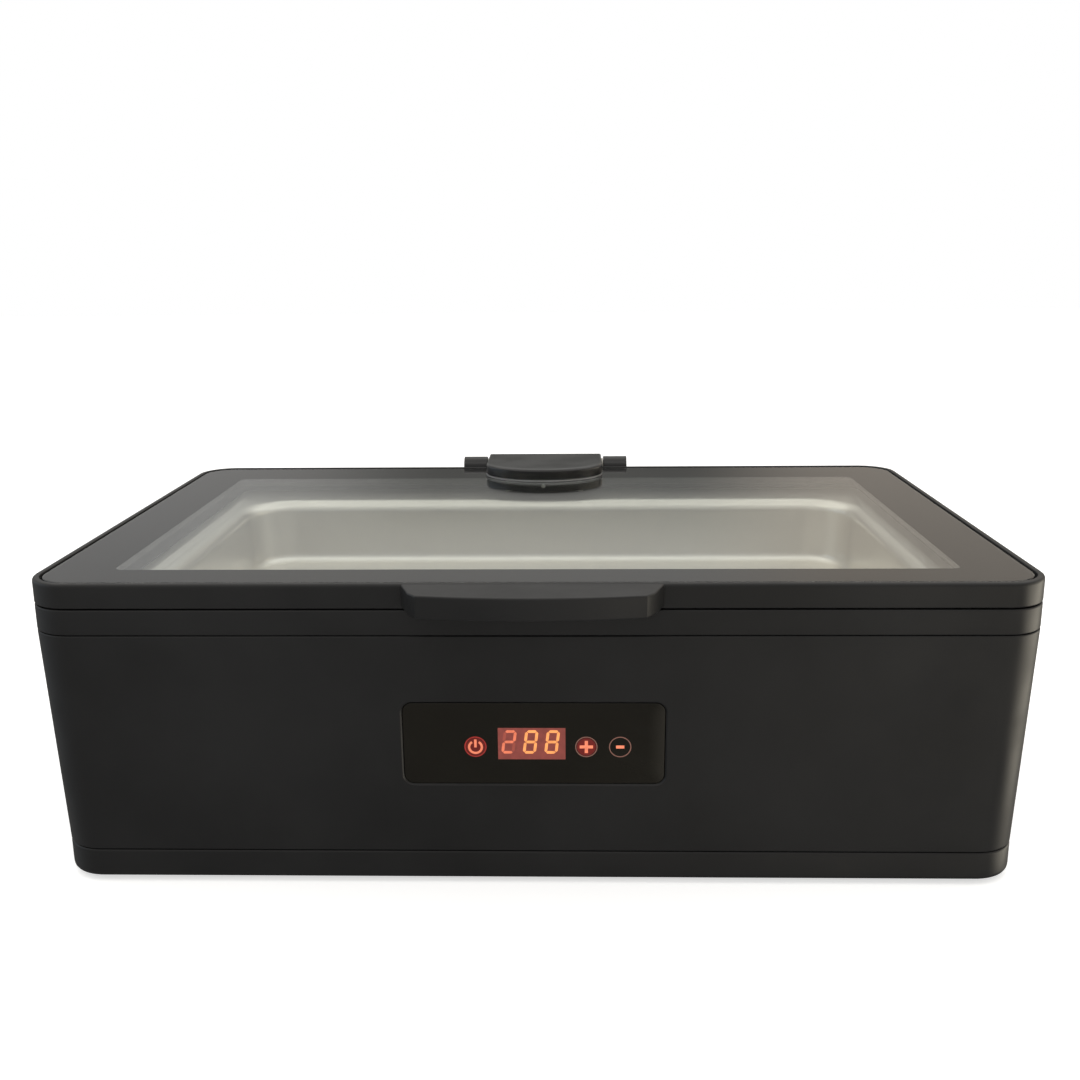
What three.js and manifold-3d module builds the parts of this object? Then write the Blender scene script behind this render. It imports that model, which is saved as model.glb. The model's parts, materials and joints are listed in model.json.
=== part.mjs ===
// Hot stone heater: a tabletop warming tank with a stainless pan under a hinged glass lid.
// Units are millimetres. +X is the operator's right, +Y the back, +Z up, feet on z = 0.
import * as THREE from 'three';
import { mergeVertices } from 'three/addons/utils/BufferGeometryUtils.js';
import Module from 'manifold-3d';

const wasm = await Module();
wasm.setup();

// ---- casing ----------------------------------------------------------------
const GAP = 0.3;               // clearance kept between touching pieces
const SEAM = 0.4;              // joint line between two casing mouldings
const EDGE = 0.7;              // how far the mouldings' visible edges are broken
const CASE_X = 280;            // half width at the top
const CASE_Y = 175;            // half depth at the top
const CASE_R = 25;             // vertical corner radius
const DRAFT = 4;               // how far each wall leans in towards the base
const WALL = 2.8;
const FOOT_H = 3;
const BASE_TOP = 20.4;
const SHELL_LOW = BASE_TOP + SEAM;
const SHELL_TOP = 151;
const RING_LOW = SHELL_TOP + SEAM;
const RING_TOP = 165.8;
const LID_LOW = 166.6;
const LID_TOP = 180.5;
const LEAN = Math.atan(DRAFT / (SHELL_TOP - SHELL_LOW));

// ---- pan -------------------------------------------------------------------
const PAN_T = 1.2;
const PAN_CX = 4.3;            // the pan hangs this far to the right of the middle
const PAN_WALL = { cx: PAN_CX, x: 223.8, front: -125.5, back: 99.5, r: 31.5 };
const PAN_FLANGE = { cx: PAN_CX, x: 243, front: -149, back: 138, r: 8 };
const PAN_RIM = 165.6;
const PAN_MOUTH = 163.9;
const PAN_FLOOR = 117.5;
const PAN_LEAN = 2.5;
const BEND_TOP = 9;
const BEND_FLOOR = 8;

// ---- lid -------------------------------------------------------------------
const WINDOW = { x: 242, front: -142.4, back: 132.2, r: 7 };
const GLASS_TOP = 180;
const GLASS_T = 4;
const GLASS_INSET = 5.3;
const LEDGE = GLASS_TOP - GLASS_T - GAP;
const HANDLE_ROOT = 70.7;      // half width where it leaves the lid
const HANDLE_TIP = 65;         // half width across its front corners
const HANDLE_END = 21;         // reach at its corners
const HANDLE_MID = 27;         // reach in the middle of the bow
const HANDLE_LOW = 167.8;

// ---- hinge -----------------------------------------------------------------
const PIN = { y: 184.8, z: 178, r: 3, half: 66.6 };
const BORE_R = 3.1;
const EAR = { r: 9, inner: 48, outer: 67.2 };
const KNUCKLE_R = 8.5;
const CAP_X = 46.2;
const CAP_FRONT = 109;
const CAP_NOSE = 33;           // depth of the half ellipse at its front
const CAP_LOW = 181.6;
const CAP_TOP = 189.5;
const CLAMP_LOW = 169;
const CLAMP_BACK = 131.6;
const CLAMP_SCREWS = { l: -28, c: 0, r: 28 };
const CLAMP_SCREW_Y = 121;

// ---- controls and mains inlet ----------------------------------------------
const PANEL = { w: 145.6, h: 48.7, r: 5.5, z: 87.15 };
const DISPLAY = { x: -1.2, w: 37.6, h: 19 };
const TOUCH_X = { power: -32.6, plus: 29.2, minus: 48 };
const INLET = { x: 180, z: 60 };

// ---- what repeats at several spots -----------------------------------------
const POSTS = { fl: [-150, -80], fr: [150, -80], bl: [-150, 70], br: [150, 70] };
const FEET = { fl: [-228, -130], fr: [228, -130], bl: [-228, 130], br: [228, 130] };
const SCREWS = { fl: [-268, -100], fr: [268, -100], bl: [-268, 100], br: [268, 100] };

// The footprint runs from the handle's nose to the back of the hinge; this centres it.
const CENTRE_Y = (CASE_Y + HANDLE_MID - (PIN.y + EAR.r)) / 2;

const CORNER = 5;              // segments in each big corner
const DOT = 10;                // segments round a small fastener or its hole
const ROUND = 20;              // segments round the hinge's barrel

// ---- mesh helpers ----------------------------------------------------------

// Solid from a closed geometry: shared vertices merged, collapsed triangles dropped and
// the faces turned outwards.
function solid(geometry) {
  const bare = new THREE.BufferGeometry();
  bare.setAttribute('position', geometry.getAttribute('position'));
  bare.setIndex(geometry.index);
  const merged = mergeVertices(bare);
  const corner = (i) => new THREE.Vector3().fromBufferAttribute(merged.getAttribute('position'), i);
  const tris = [];
  let volume = 0;
  for (let i = 0; i < merged.index.count; i += 3) {
    const [a, b, c] = merged.index.array.slice(i, i + 3);
    if (a !== b && b !== c && c !== a) {
      tris.push(a, b, c);
      volume += corner(a).dot(corner(b).cross(corner(c)));
    }
  }
  if (volume < 0) {
    tris.reverse();
  }
  return new wasm.Manifold(new wasm.Mesh({
    numProp: 3,
    vertProperties: new Float32Array(merged.getAttribute('position').array),
    triVerts: new Uint32Array(tris),
  }));
}

// Skin through rings of equal length. A tube closes on its first ring; others are capped.
function loft(rings, { tube = false } = {}) {
  const n = rings[0].length;
  const tris = [];
  const spans = tube ? rings.length : rings.length - 1;
  for (let i = 0; i < spans; i += 1) {
    const low = i * n;
    const high = ((i + 1) % rings.length) * n;
    for (let j = 0; j < n; j += 1) {
      const k = (j + 1) % n;
      tris.push(low + j, low + k, high + k, low + j, high + k, high + j);
    }
  }
  if (!tube) {
    const last = (rings.length - 1) * n;
    for (let j = 1; j < n - 1; j += 1) {
      tris.push(0, j + 1, j);
      tris.push(last, last + j, last + j + 1);
    }
  }
  const geometry = new THREE.BufferGeometry();
  geometry.setAttribute('position', new THREE.Float32BufferAttribute(rings.flat(2), 3));
  geometry.setIndex(tris);
  return solid(geometry);
}

// Arc about (cx, cy) as points, its angles in degrees.
function arc(cx, cy, r, from, to, seg) {
  const start = THREE.MathUtils.degToRad(from);
  const stop = THREE.MathUtils.degToRad(to);
  return new THREE.EllipseCurve(cx, cy, r, r, start, stop, to < from).getPoints(seg);
}

// A whole circle as points, without repeating the first one.
function circle(cx, cy, r, seg) {
  return arc(cx, cy, r, 0, 360, seg).slice(0, -1);
}

// Rounded rectangle, anticlockwise.
function outline(x0, x1, y0, y1, r, seg = CORNER) {
  const centres = [[x1 - r, y1 - r], [x0 + r, y1 - r], [x0 + r, y0 + r], [x1 - r, y0 + r]];
  return centres.flatMap(([cx, cy], i) => arc(cx, cy, r, 90 * i, 90 * (i + 1), seg));
}

function ringAt(points, z) {
  return points.map((p) => [p.x, p.y, z]);
}

// Outline of the casing at height z, moved in by inset; it leans in below the shell's top.
function caseRing(inset, z) {
  const lean = Math.min(Math.max(SHELL_TOP - z, 0) / (SHELL_TOP - SHELL_LOW), 1) * DRAFT;
  const x = CASE_X - inset - lean;
  const y = CASE_Y - inset - lean;
  return ringAt(outline(-x, x, -y, y, CASE_R - inset), z);
}

// The outside of a casing moulding, with its two visible edges broken.
function outerRings(low, high) {
  return [
    caseRing(EDGE, low), caseRing(0, low + EDGE), caseRing(0, high - EDGE), caseRing(EDGE, high),
  ];
}

// Plan of a rounded rectangle, centred on cx across the object and grown all round.
function planRing(plan, grow, z) {
  const { cx = 0 } = plan;
  const x = plan.x + grow;
  const path = outline(cx - x, cx + x, plan.front - grow, plan.back + grow, plan.r + grow);
  return ringAt(path, z);
}

// Prism standing on z0 with the given plan.
function prism(points, z0, z1) {
  const shape = new THREE.Shape(points);
  const geometry = new THREE.ExtrudeGeometry(shape, { depth: z1 - z0, bevelEnabled: false });
  return solid(geometry.translate(0, 0, z0));
}

function block(x0, x1, y0, y1, z0, z1, r = 0.6, seg = 1) {
  return prism(outline(x0, x1, y0, y1, r, seg), z0, z1);
}

// Prism along +X with its section drawn in the YZ plane.
function barX(section, x0, x1) {
  const x = new THREE.Vector3(1, 0, 0);
  const y = new THREE.Vector3(0, 1, 0);
  const z = new THREE.Vector3(0, 0, 1);
  const geometry = new THREE.ExtrudeGeometry(new THREE.Shape(section), {
    depth: x1 - x0, bevelEnabled: false,
  });
  geometry.applyMatrix4(new THREE.Matrix4().makeBasis(y, z, x));
  return solid(geometry.translate(x0, 0, 0));
}

// Solid of revolution about +Z from [radius, z] pairs, lowest first.
function turned(profile, seg = DOT) {
  const ends = [[0, profile[0][1]], ...profile, [0, profile.at(-1)[1]]];
  const points = ends.map(([r, z]) => new THREE.Vector2(r, z));
  const geometry = new THREE.LatheGeometry(points, seg, Math.PI / seg);
  return solid(geometry.rotateX(Math.PI / 2));
}

function rod(r, z0, z1, seg = DOT) {
  return turned([[r, z0], [r, z1]], seg);
}

// Screw with its head standing on +Z and its shank running down from zero.
function screw(head, headH, shank, length) {
  return turned([
    [shank, -length], [shank, 0], [head, 0], [head, headH * 0.6], [head * 0.6, headH],
  ]);
}

// Path whose steps fall on its own points, so that a straight stretch needs none between.
class Route extends THREE.Curve {
  constructor(points) {
    super();
    this.points = points;
  }

  at(u, shift = 0) {
    const last = this.points.length - 1;
    return this.points[THREE.MathUtils.clamp(Math.round(u * last) + shift, 0, last)].clone();
  }

  getPointAt(u) {
    return this.at(u);
  }

  getTangentAt(u) {
    return this.at(u, 1).sub(this.at(u, -1)).normalize();
  }
}

// Round cable or tube through a list of points.
function cable(points, r, sides = 8) {
  return solid(new THREE.ExtrudeGeometry(new THREE.Shape(circle(0, 0, r, sides)), {
    steps: points.length - 1, extrudePath: new Route(points), bevelEnabled: false,
  }));
}

function smooth(points, steps) {
  return new THREE.CatmullRomCurve3(points.map((p) => new THREE.Vector3(...p))).getPoints(steps);
}

// Turns a solid drawn along +Z so that it points along +Y (side 1) or -Y (side -1).
function alongY(part, side) {
  return part.rotate([-side * 90, 0, 0]);
}

// Puts a solid drawn round the origin onto the leaning front (side -1) or back (side 1)
// wall. In the drawing, X runs along the wall, Z up it and side times Y out of it.
function onWall(part, side, x, z) {
  const y = side * (CASE_Y - DRAFT * (SHELL_TOP - z) / (SHELL_TOP - SHELL_LOW));
  return part.rotate([-side * THREE.MathUtils.radToDeg(LEAN), 0, 0]).translate([x, y, z]);
}

// Rounded rectangle standing in the wall's plane at depth y.
function wallRing(w, h, r, y) {
  return outline(-w / 2, w / 2, -h / 2, h / 2, r).map((p) => [p.x, y, p.y]);
}

function wallPlate(w, h, r, y0, y1, seg = 3) {
  return alongY(block(-w / 2, w / 2, -h / 2, h / 2, y0, y1, r, seg), 1);
}

function cutAll(part, spots, tool) {
  return spots.reduce((rest, [x, y]) => rest.subtract(tool.translate([x, y, 0])), part);
}

const heater = new THREE.Group();
heater.name = 'hot_stone_heater';

function add(name, part, color, roughness, metalness = 0, extra = {}) {
  const mesh = part.getMesh();
  const shared = new THREE.BufferGeometry();
  shared.setAttribute('position', new THREE.BufferAttribute(mesh.vertProperties, 3));
  shared.setIndex(new THREE.BufferAttribute(mesh.triVerts, 1));
  const geometry = shared.toNonIndexed();
  geometry.computeVertexNormals();
  const material = new THREE.MeshStandardMaterial({ color, roughness, metalness, ...extra });
  const node = new THREE.Mesh(geometry, material);
  node.name = name;
  node.position.y = CENTRE_Y;
  heater.add(node);
}

const BLACK = 0x1b1b1c;
const RUBBER = 0x141414;
const STEEL = 0xb9b6ae;
const ZINC = 0x8f9294;
const SILICONE = 0x5b5b5e;
const BOARD_GREEN = 0x1f4a2c;

// ---- base tray -------------------------------------------------------------
const TRAY_FLOOR = 6;
const TRAY_ROUND = 3;          // rounding under the tray's rim
const TRAY_CHAMFER = 1.5;
const SPIGOT = { outer: 3.3, inner: 5.3, top: 26 };
const BOSS_R = 6;
const BOSS_CLEAR = 7;          // the spigot is cut back this far round each boss
const BASE_SCREW = { head: 3.6, headH: 2.5, shank: 1.9, length: 29.3, hole: 2.3, sink: 4.3 };
const BASE_SEAT = 8;           // depth to which each screw head is sunk
const POST_FOOT_HOLE = 3.4;
const FOOT_HOLE = 3.6;
const BOARD = { x0: -120, x1: 20, y0: -40, y1: 60, z: 14.3, t: 1.6, edge: 6 };
const STANDOFF = { r: 3.6, peg: 1.3, top: 17.4 };
const VENT = { count: 4, pitch: 9, half: 1.8, reach: 28, centres: [-195, 195] };
const below = FOOT_H - 1;      // start of every cut made from underneath
const boardSpots = [BOARD.x0 + BOARD.edge, BOARD.x1 - BOARD.edge].flatMap((x) => [
  [x, BOARD.y0 + BOARD.edge], [x, BOARD.y1 - BOARD.edge],
]);

function baseTray() {
  let tray = loft([
    caseRing(TRAY_ROUND, FOOT_H), caseRing(0.3 * TRAY_ROUND, FOOT_H + 0.3 * TRAY_ROUND),
    caseRing(0, FOOT_H + TRAY_ROUND), caseRing(0, BASE_TOP - TRAY_CHAMFER),
    caseRing(TRAY_CHAMFER, BASE_TOP), caseRing(SPIGOT.outer, BASE_TOP),
    caseRing(SPIGOT.outer, SPIGOT.top), caseRing(SPIGOT.inner, SPIGOT.top),
    caseRing(SPIGOT.inner, TRAY_FLOOR),
  ]);
  for (const [x, y] of Object.values(SCREWS)) {
    tray = tray.subtract(rod(BOSS_CLEAR, BASE_TOP, SPIGOT.top + 1).translate([x, y, 0]));
    tray = tray.add(rod(BOSS_R, FOOT_H + 1, BASE_TOP).translate([x, y, 0]));
    tray = tray.subtract(rod(BASE_SCREW.sink, below, BASE_SEAT).translate([x, y, 0]));
    tray = tray.subtract(rod(BASE_SCREW.hole, below, BASE_TOP + 1).translate([x, y, 0]));
  }
  tray = cutAll(tray, Object.values(POSTS), rod(POST_FOOT_HOLE, below, TRAY_FLOOR + 1));
  tray = cutAll(tray, Object.values(FEET), rod(FOOT_HOLE, below, TRAY_FLOOR + 1));
  const shoulder = BOARD.z - GAP;
  const standoff = turned([
    [STANDOFF.r, TRAY_FLOOR - 1], [STANDOFF.r, shoulder], [STANDOFF.peg, shoulder],
    [STANDOFF.peg, STANDOFF.top],
  ], 8);
  for (const [x, y] of boardSpots) {
    tray = tray.add(standoff.translate([x, y, 0]));
  }
  const { half, reach } = VENT;
  const slot = block(-half, half, -reach, reach, below, TRAY_FLOOR + 1, half * 0.95);
  for (const centre of VENT.centres) {
    for (let i = 0; i < VENT.count; i += 1) {
      const x = centre + (i - (VENT.count - 1) / 2) * VENT.pitch;
      tray = tray.subtract(slot.translate([x, 0, 0]));
    }
  }
  return tray;
}
add('base_tray', baseTray(), BLACK, 0.55);

for (const [spot, [x, y]] of Object.entries(SCREWS)) {
  const { head, headH, shank, length } = BASE_SCREW;
  const part = screw(head, headH, shank, length).rotate([180, 0, 0]);
  add(`base_screw_${spot}`, part.translate([x, y, BASE_SEAT - GAP]), ZINC, 0.35, 0.9);
}

const FOOT = { r: 12, sole: 10.5, chamfer: 1.4, neck: 3.2, barb: 4.6, tip: 3, top: 8.6 };
for (const [spot, [x, y]] of Object.entries(FEET)) {
  const foot = turned([
    [FOOT.sole, 0], [FOOT.r, FOOT.chamfer], [FOOT.r, FOOT_H - GAP], [FOOT.neck, FOOT_H - GAP],
    [FOOT.neck, TRAY_FLOOR + GAP], [FOOT.barb, TRAY_FLOOR + GAP], [FOOT.tip, FOOT.top],
  ], 14);
  add(`foot_${spot}`, foot.translate([x, y, 0]), RUBBER, 0.8);
}

// ---- body shell ------------------------------------------------------------
const SHELL_BOSS_TOP = 45;
const SHELL_HOLE_TOP = 39;
const WINDOW_CLEAR = 0.6;      // the panel's window is this much larger than the panel
const WINDOW_FLARE = 2;        // and opens out this much more at the wall's face
const INLET_CUT = { w: 30, h: 23.4, r: 3 };
const INLET_SCREW_X = 20;
const PILOT_R = 1.7;

function bodyShell() {
  let shell = loft([
    ...outerRings(SHELL_LOW, SHELL_TOP), caseRing(WALL, SHELL_TOP), caseRing(WALL, SHELL_LOW),
  ], { tube: true });
  for (const [x, y] of Object.values(SCREWS)) {
    shell = shell.add(rod(BOSS_R, SHELL_LOW, SHELL_BOSS_TOP).translate([x, y, 0]));
    shell = shell.subtract(rod(BASE_SCREW.hole, BASE_TOP, SHELL_HOLE_TOP).translate([x, y, 0]));
  }
  const sized = (grow, y) => wallRing(PANEL.w + grow, PANEL.h + grow, PANEL.r + grow / 2, y);
  const windowCut = loft([
    sized(WINDOW_CLEAR + WINDOW_FLARE, -GAP), sized(WINDOW_CLEAR, EDGE),
    sized(WINDOW_CLEAR, 2 * WALL),
  ]);
  shell = shell.subtract(onWall(windowCut, -1, 0, PANEL.z));
  const mouth = wallPlate(INLET_CUT.w, INLET_CUT.h, INLET_CUT.r, -2 * WALL, 1);
  shell = shell.subtract(onWall(mouth, 1, INLET.x, INLET.z));
  const pilot = alongY(rod(PILOT_R, -2 * WALL, 1), 1);
  for (const x of [-INLET_SCREW_X, INLET_SCREW_X]) {
    shell = shell.subtract(onWall(pilot, 1, INLET.x + x, INLET.z));
  }
  return shell;
}
add('body_shell', bodyShell(), BLACK, 0.5);

// ---- top ring and gasket ---------------------------------------------------
const SHELF_TOP = 162;
const SHELF_LOW = 159;
const SHELF_REACH = 9;         // how far the shelf stops short of the pan's wall
const SKIRT = { outer: 3.4, inner: 6.5, low: SHELL_TOP - 4 };
const BRACKET_SCREWS = { l: -34, r: 34 };
const BRACKET_SCREW_Z = 156;

function topRing() {
  const ring = loft([
    ...outerRings(RING_LOW, RING_TOP), planRing(PAN_FLANGE, 2 * GAP, RING_TOP),
    planRing(PAN_FLANGE, 2 * GAP, SHELF_TOP), planRing(PAN_WALL, SHELF_REACH, SHELF_TOP),
    planRing(PAN_WALL, SHELF_REACH, SHELF_LOW), caseRing(SKIRT.inner, SHELF_LOW),
    caseRing(SKIRT.inner, SKIRT.low), caseRing(SKIRT.outer, SKIRT.low),
    caseRing(SKIRT.outer, RING_LOW),
  ], { tube: true });
  const pilot = alongY(rod(PILOT_R, CASE_Y - 15, CASE_Y + 1), 1);
  const spots = Object.values(BRACKET_SCREWS).map((x) => [x, 0]);
  return cutAll(ring, spots, pilot.translate([0, 0, BRACKET_SCREW_Z]));
}
add('top_ring', topRing(), BLACK, 0.5);

const GASKET_W = 6.4;
const gasketLow = SHELF_TOP + GAP;
const gasketTop = PAN_RIM - PAN_T - GAP;
add('pan_gasket', loft([
  planRing(PAN_FLANGE, -0.6, gasketLow), planRing(PAN_FLANGE, -0.6, gasketTop),
  planRing(PAN_FLANGE, -0.6 - GASKET_W, gasketTop), planRing(PAN_FLANGE, -0.6 - GASKET_W, gasketLow),
], { tube: true }), SILICONE, 0.7);

// ---- pan -------------------------------------------------------------------
// Half of the pan's section as [distance out from the wall line, height] pairs. It follows
// the face that holds the stones, moved outwards by t.
function panSection(t) {
  const floor = arc(-PAN_LEAN - BEND_FLOOR, PAN_FLOOR + BEND_FLOOR, BEND_FLOOR + t, 270, 360, 4);
  const top = arc(BEND_TOP, PAN_MOUTH - BEND_TOP, BEND_TOP - t, 180, 90, 4);
  return [...floor, ...top];
}
const FLANGE_W = 7;
const panOut = panSection(PAN_T).map((p) => planRing(PAN_WALL, p.x, p.y));
const panIn = panSection(0).reverse().map((p) => planRing(PAN_WALL, p.x, p.y));
add('stone_pan', loft([
  ...panOut, planRing(PAN_FLANGE, -FLANGE_W, PAN_RIM - PAN_T), planRing(PAN_FLANGE, 0, PAN_RIM - PAN_T),
  planRing(PAN_FLANGE, 0, PAN_RIM), planRing(PAN_FLANGE, -FLANGE_W, PAN_RIM), ...panIn,
]), STEEL, 0.3, 1);

// ---- heater stack under the pan --------------------------------------------
const PLATE = { x: 205, front: -106, back: 84, r: 14, t: 3 };
const PLATE_TOP = PAN_FLOOR - PAN_T - GAP;
const PLATE_LOW = PLATE_TOP - PLATE.t;
const TUBE_R = 3.2;
const TUBE_Z = PLATE_LOW - GAP - TUBE_R;
const FIBRE = { x: 178, front: -100, back: 78, t: 8, r: 6 };
const FIBRE_TOP = TUBE_Z - TUBE_R - GAP;
const FIBRE_LOW = FIBRE_TOP - FIBRE.t;
const SHIELD = { x: 186, front: -108, back: 86, r: 8, t: 1, rise: 4 };
const SHIELD_TOP = FIBRE_LOW - GAP;
add('heater_plate', block(
  -PLATE.x, PLATE.x, PLATE.front, PLATE.back, PLATE_LOW, PLATE_TOP, PLATE.r, 4,
), 0xa9abad, 0.4, 1);

// The element runs across the plate in four passes joined by three half-circle turns.
const PASS = { count: 4, first: -80, pitch: 47, turn: 150, terminal: 196 };
function elementRoute() {
  const passY = (i) => PASS.first + i * PASS.pitch;
  const end = (i) => new THREE.Vector3(PASS.terminal, passY(i), TUBE_Z);
  const route = [end(0)];
  for (let i = 0; i < PASS.count - 1; i += 1) {
    const side = i % 2 === 0 ? -1 : 1;
    const turn = arc(0, passY(i) + PASS.pitch / 2, PASS.pitch / 2, -90, 90, 6);
    turn.forEach((p) => route.push(new THREE.Vector3(side * (PASS.turn + p.x), p.y, TUBE_Z)));
  }
  route.push(end(PASS.count - 1));
  return route;
}
add('heating_element', cable(elementRoute(), TUBE_R), 0x6f6a63, 0.45, 0.9);

add('insulation_pad', block(
  -FIBRE.x, FIBRE.x, FIBRE.front, FIBRE.back, FIBRE_LOW, FIBRE_TOP, FIBRE.r,
), 0xd9d4c6, 0.95);

const shieldRing = (inset, z) => ringAt(outline(
  inset - SHIELD.x, SHIELD.x - inset, SHIELD.front + inset, SHIELD.back - inset,
  SHIELD.r - inset, 2,
), z);
const shieldTray = loft([
  shieldRing(0, SHIELD_TOP - SHIELD.t), shieldRing(0, SHIELD_TOP + SHIELD.rise),
  shieldRing(SHIELD.t, SHIELD_TOP + SHIELD.rise), shieldRing(SHIELD.t, SHIELD_TOP),
]);
const shieldHole = rod(POST_FOOT_HOLE, SHIELD_TOP - 3, SHIELD_TOP + 3);
add('heat_shield', cutAll(shieldTray, Object.values(POSTS), shieldHole), 0x9fa3a5, 0.35, 1);

const POST = { r: 5, peg: 3 };
for (const [spot, [x, y]] of Object.entries(POSTS)) {
  const low = TRAY_FLOOR + GAP;
  const high = SHIELD_TOP - SHIELD.t - GAP;
  const post = turned([
    [POST.peg, FOOT_H + 0.4], [POST.peg, low], [POST.r, low], [POST.r, high], [POST.peg, high],
    [POST.peg, high + 1.1],
  ]);
  add(`shield_post_${spot}`, post.translate([x, y, 0]), ZINC, 0.4, 0.9);
}

const PROBE = { r: 3, tip: 1.6, half: 12, x: -191 };
const probe = alongY(turned([
  [PROBE.tip, -PROBE.half], [PROBE.r, 1 - PROBE.half], [PROBE.r, PROBE.half - 1],
  [PROBE.tip, PROBE.half],
]), 1);
add('temperature_probe', probe.translate([PROBE.x, 0, PLATE_LOW - PROBE.r - 0.4]), STEEL, 0.35, 1);
const CUTOUT = { x: 193, y: 10, body: 6, flange: 8.5, step: 3.2, depth: 9 };
const cutout = turned([
  [CUTOUT.body * 0.6, -CUTOUT.depth], [CUTOUT.body, 0.5 - CUTOUT.depth],
  [CUTOUT.body, -CUTOUT.step], [CUTOUT.flange, -CUTOUT.step], [CUTOUT.flange, -GAP],
], 16);
add('thermal_cutout', cutout.translate([CUTOUT.x, CUTOUT.y, PLATE_LOW]), 0x2a2622, 0.6);

// ---- control panel and its electronics -------------------------------------
const PANEL_FACE = 0.6;        // how far the panel's face lies behind the wall's
const PANEL_STEP = WALL + 0.4; // its flange bears on the inside of the wall
const PANEL_BACK = PANEL_STEP + 2;
const PANEL_FLANGE = 6;
const panelRing = (grow, y) => wallRing(PANEL.w + grow, PANEL.h + grow, PANEL.r + grow / 2, y);
add('control_panel', onWall(loft([
  panelRing(-0.6, PANEL_FACE), panelRing(0, PANEL_FACE + 0.4), panelRing(0, PANEL_STEP),
  panelRing(PANEL_FLANGE, PANEL_STEP), panelRing(PANEL_FLANGE, PANEL_BACK),
]), -1, 0, PANEL.z), 0x14120f, 0.12);

const STACK = PANEL_BACK + GAP;
const STACK_END = STACK + 8;
const TOUCH_DROP = 1.5;        // the touch symbols sit this far below the panel's middle
const display = wallPlate(DISPLAY.w, DISPLAY.h, 0.8, STACK, STACK_END, 1);
add('display_module', onWall(display, -1, DISPLAY.x, PANEL.z), 0x3a1512, 0.4);
const TOUCH = { r: 5.6, rim: 1.2, stem: 2.4, shoulder: 2 };
for (const [label, x] of Object.entries(TOUCH_X)) {
  const disc = turned([
    [TOUCH.r, STACK], [TOUCH.r, STACK + TOUCH.rim], [TOUCH.stem, STACK + TOUCH.shoulder],
    [TOUCH.stem, STACK_END],
  ], 14);
  add(`touch_pad_${label}`, onWall(alongY(disc, 1), -1, x, PANEL.z - TOUCH_DROP), 0xb98b4a, 0.4, 0.9);
}
const CARD = { w: 136, h: 42, r: 2, t: 1.6 };
const card = wallPlate(CARD.w, CARD.h, CARD.r, STACK_END + GAP, STACK_END + GAP + CARD.t, 1);
add('control_board', onWall(card, -1, 0, PANEL.z), BOARD_GREEN, 0.6);

// ---- power electronics on the tray -----------------------------------------
const DECK = BOARD.z + BOARD.t + GAP;
const boardPlate = block(BOARD.x0, BOARD.x1, BOARD.y0, BOARD.y1, BOARD.z, BOARD.z + BOARD.t, 2);
const boardHole = rod(PILOT_R, BOARD.z - 1, BOARD.z + 3, 8);
add('power_board', cutAll(boardPlate, boardSpots, boardHole), BOARD_GREEN, 0.6);
add('relay', block(-16, 13, -31, -15, DECK, DECK + 16, 1), 0x1d3f7a, 0.5);
const core = block(-104, -64, -20, 20, DECK, DECK + 30, 2);
const bobbin = block(-100, -68, -26, 26, DECK + 5, DECK + 25, 3);
add('transformer', core.add(bobbin), 0x54504a, 0.55, 0.4);
const TERMINAL = { low: 16, pitch: 11, count: 3, hole: 2.4, top: DECK + 13 };
let terminals = block(-6, 14, 10, 44, DECK, TERMINAL.top, 1);
for (let i = 0; i < TERMINAL.count; i += 1) {
  const hole = rod(TERMINAL.hole, TERMINAL.top - 6, TERMINAL.top + 1, 8);
  terminals = terminals.subtract(hole.translate([4, TERMINAL.low + i * TERMINAL.pitch, 0]));
}
add('terminal_block', terminals, 0x2f6b3a, 0.6);

// ---- mains inlet in the back wall ------------------------------------------
const INLET_FACE = { w: 50, h: 24, r: 4, y: 2.8 };
const INLET_BODY = { w: 29.2, h: 22.6, r: 2.6, y: -22 };
const INLET_MOUTH = { w: 24.4, h: 16.6, r: 3, depth: 19 };
const INLET_PINS = { line: [-7, -2], neutral: [7, -2], earth: [0, 2] };
const INLET_SCREW = { head: 2.9, headH: 1.9, shank: 1.4, length: 11.1 };
const BLADE = { w: 2, h: 4, r: 0.4, back: -27, front: -2.4 };

function inletSocket() {
  const face = wallPlate(INLET_FACE.w, INLET_FACE.h, INLET_FACE.r, GAP, INLET_FACE.y);
  const body = wallPlate(INLET_BODY.w, INLET_BODY.h, INLET_BODY.r, INLET_BODY.y, 1);
  const { w, h, r, depth } = INLET_MOUTH;
  const mouth = wallPlate(w, h, r, INLET_FACE.y - depth, INLET_FACE.y + 1);
  let inlet = face.add(body).subtract(mouth);
  const hole = alongY(rod(PILOT_R, -1, INLET_FACE.y + 2), 1);
  inlet = cutAll(inlet, [[-INLET_SCREW_X, 0], [INLET_SCREW_X, 0]], hole);
  const slot = wallPlate(BLADE.w + 2 * GAP, BLADE.h + 2 * GAP, GAP, INLET_BODY.y - 2, -10, 1);
  for (const [x, z] of Object.values(INLET_PINS)) {
    inlet = inlet.subtract(slot.translate([x, 0, z]));
  }
  return inlet;
}
add('inlet_socket', onWall(inletSocket(), 1, INLET.x, INLET.z), 0x171717, 0.5);
for (const [label, [x, z]] of Object.entries(INLET_PINS)) {
  const blade = wallPlate(BLADE.w, BLADE.h, BLADE.r, BLADE.back, BLADE.front, 1);
  const stood = onWall(blade.translate([x, 0, z]), 1, INLET.x, INLET.z);
  add(`inlet_pin_${label}`, stood, 0xc9a765, 0.3, 1);
}
for (const [label, side] of [['l', -1], ['r', 1]]) {
  const { head, headH, shank, length } = INLET_SCREW;
  const part = screw(head, headH, shank, length).translate([0, 0, INLET_FACE.y + GAP]);
  const stood = onWall(alongY(part, 1), 1, INLET.x + side * INLET_SCREW_X, INLET.z);
  add(`inlet_screw_${label}`, stood, ZINC, 0.35, 0.9);
}

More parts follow.
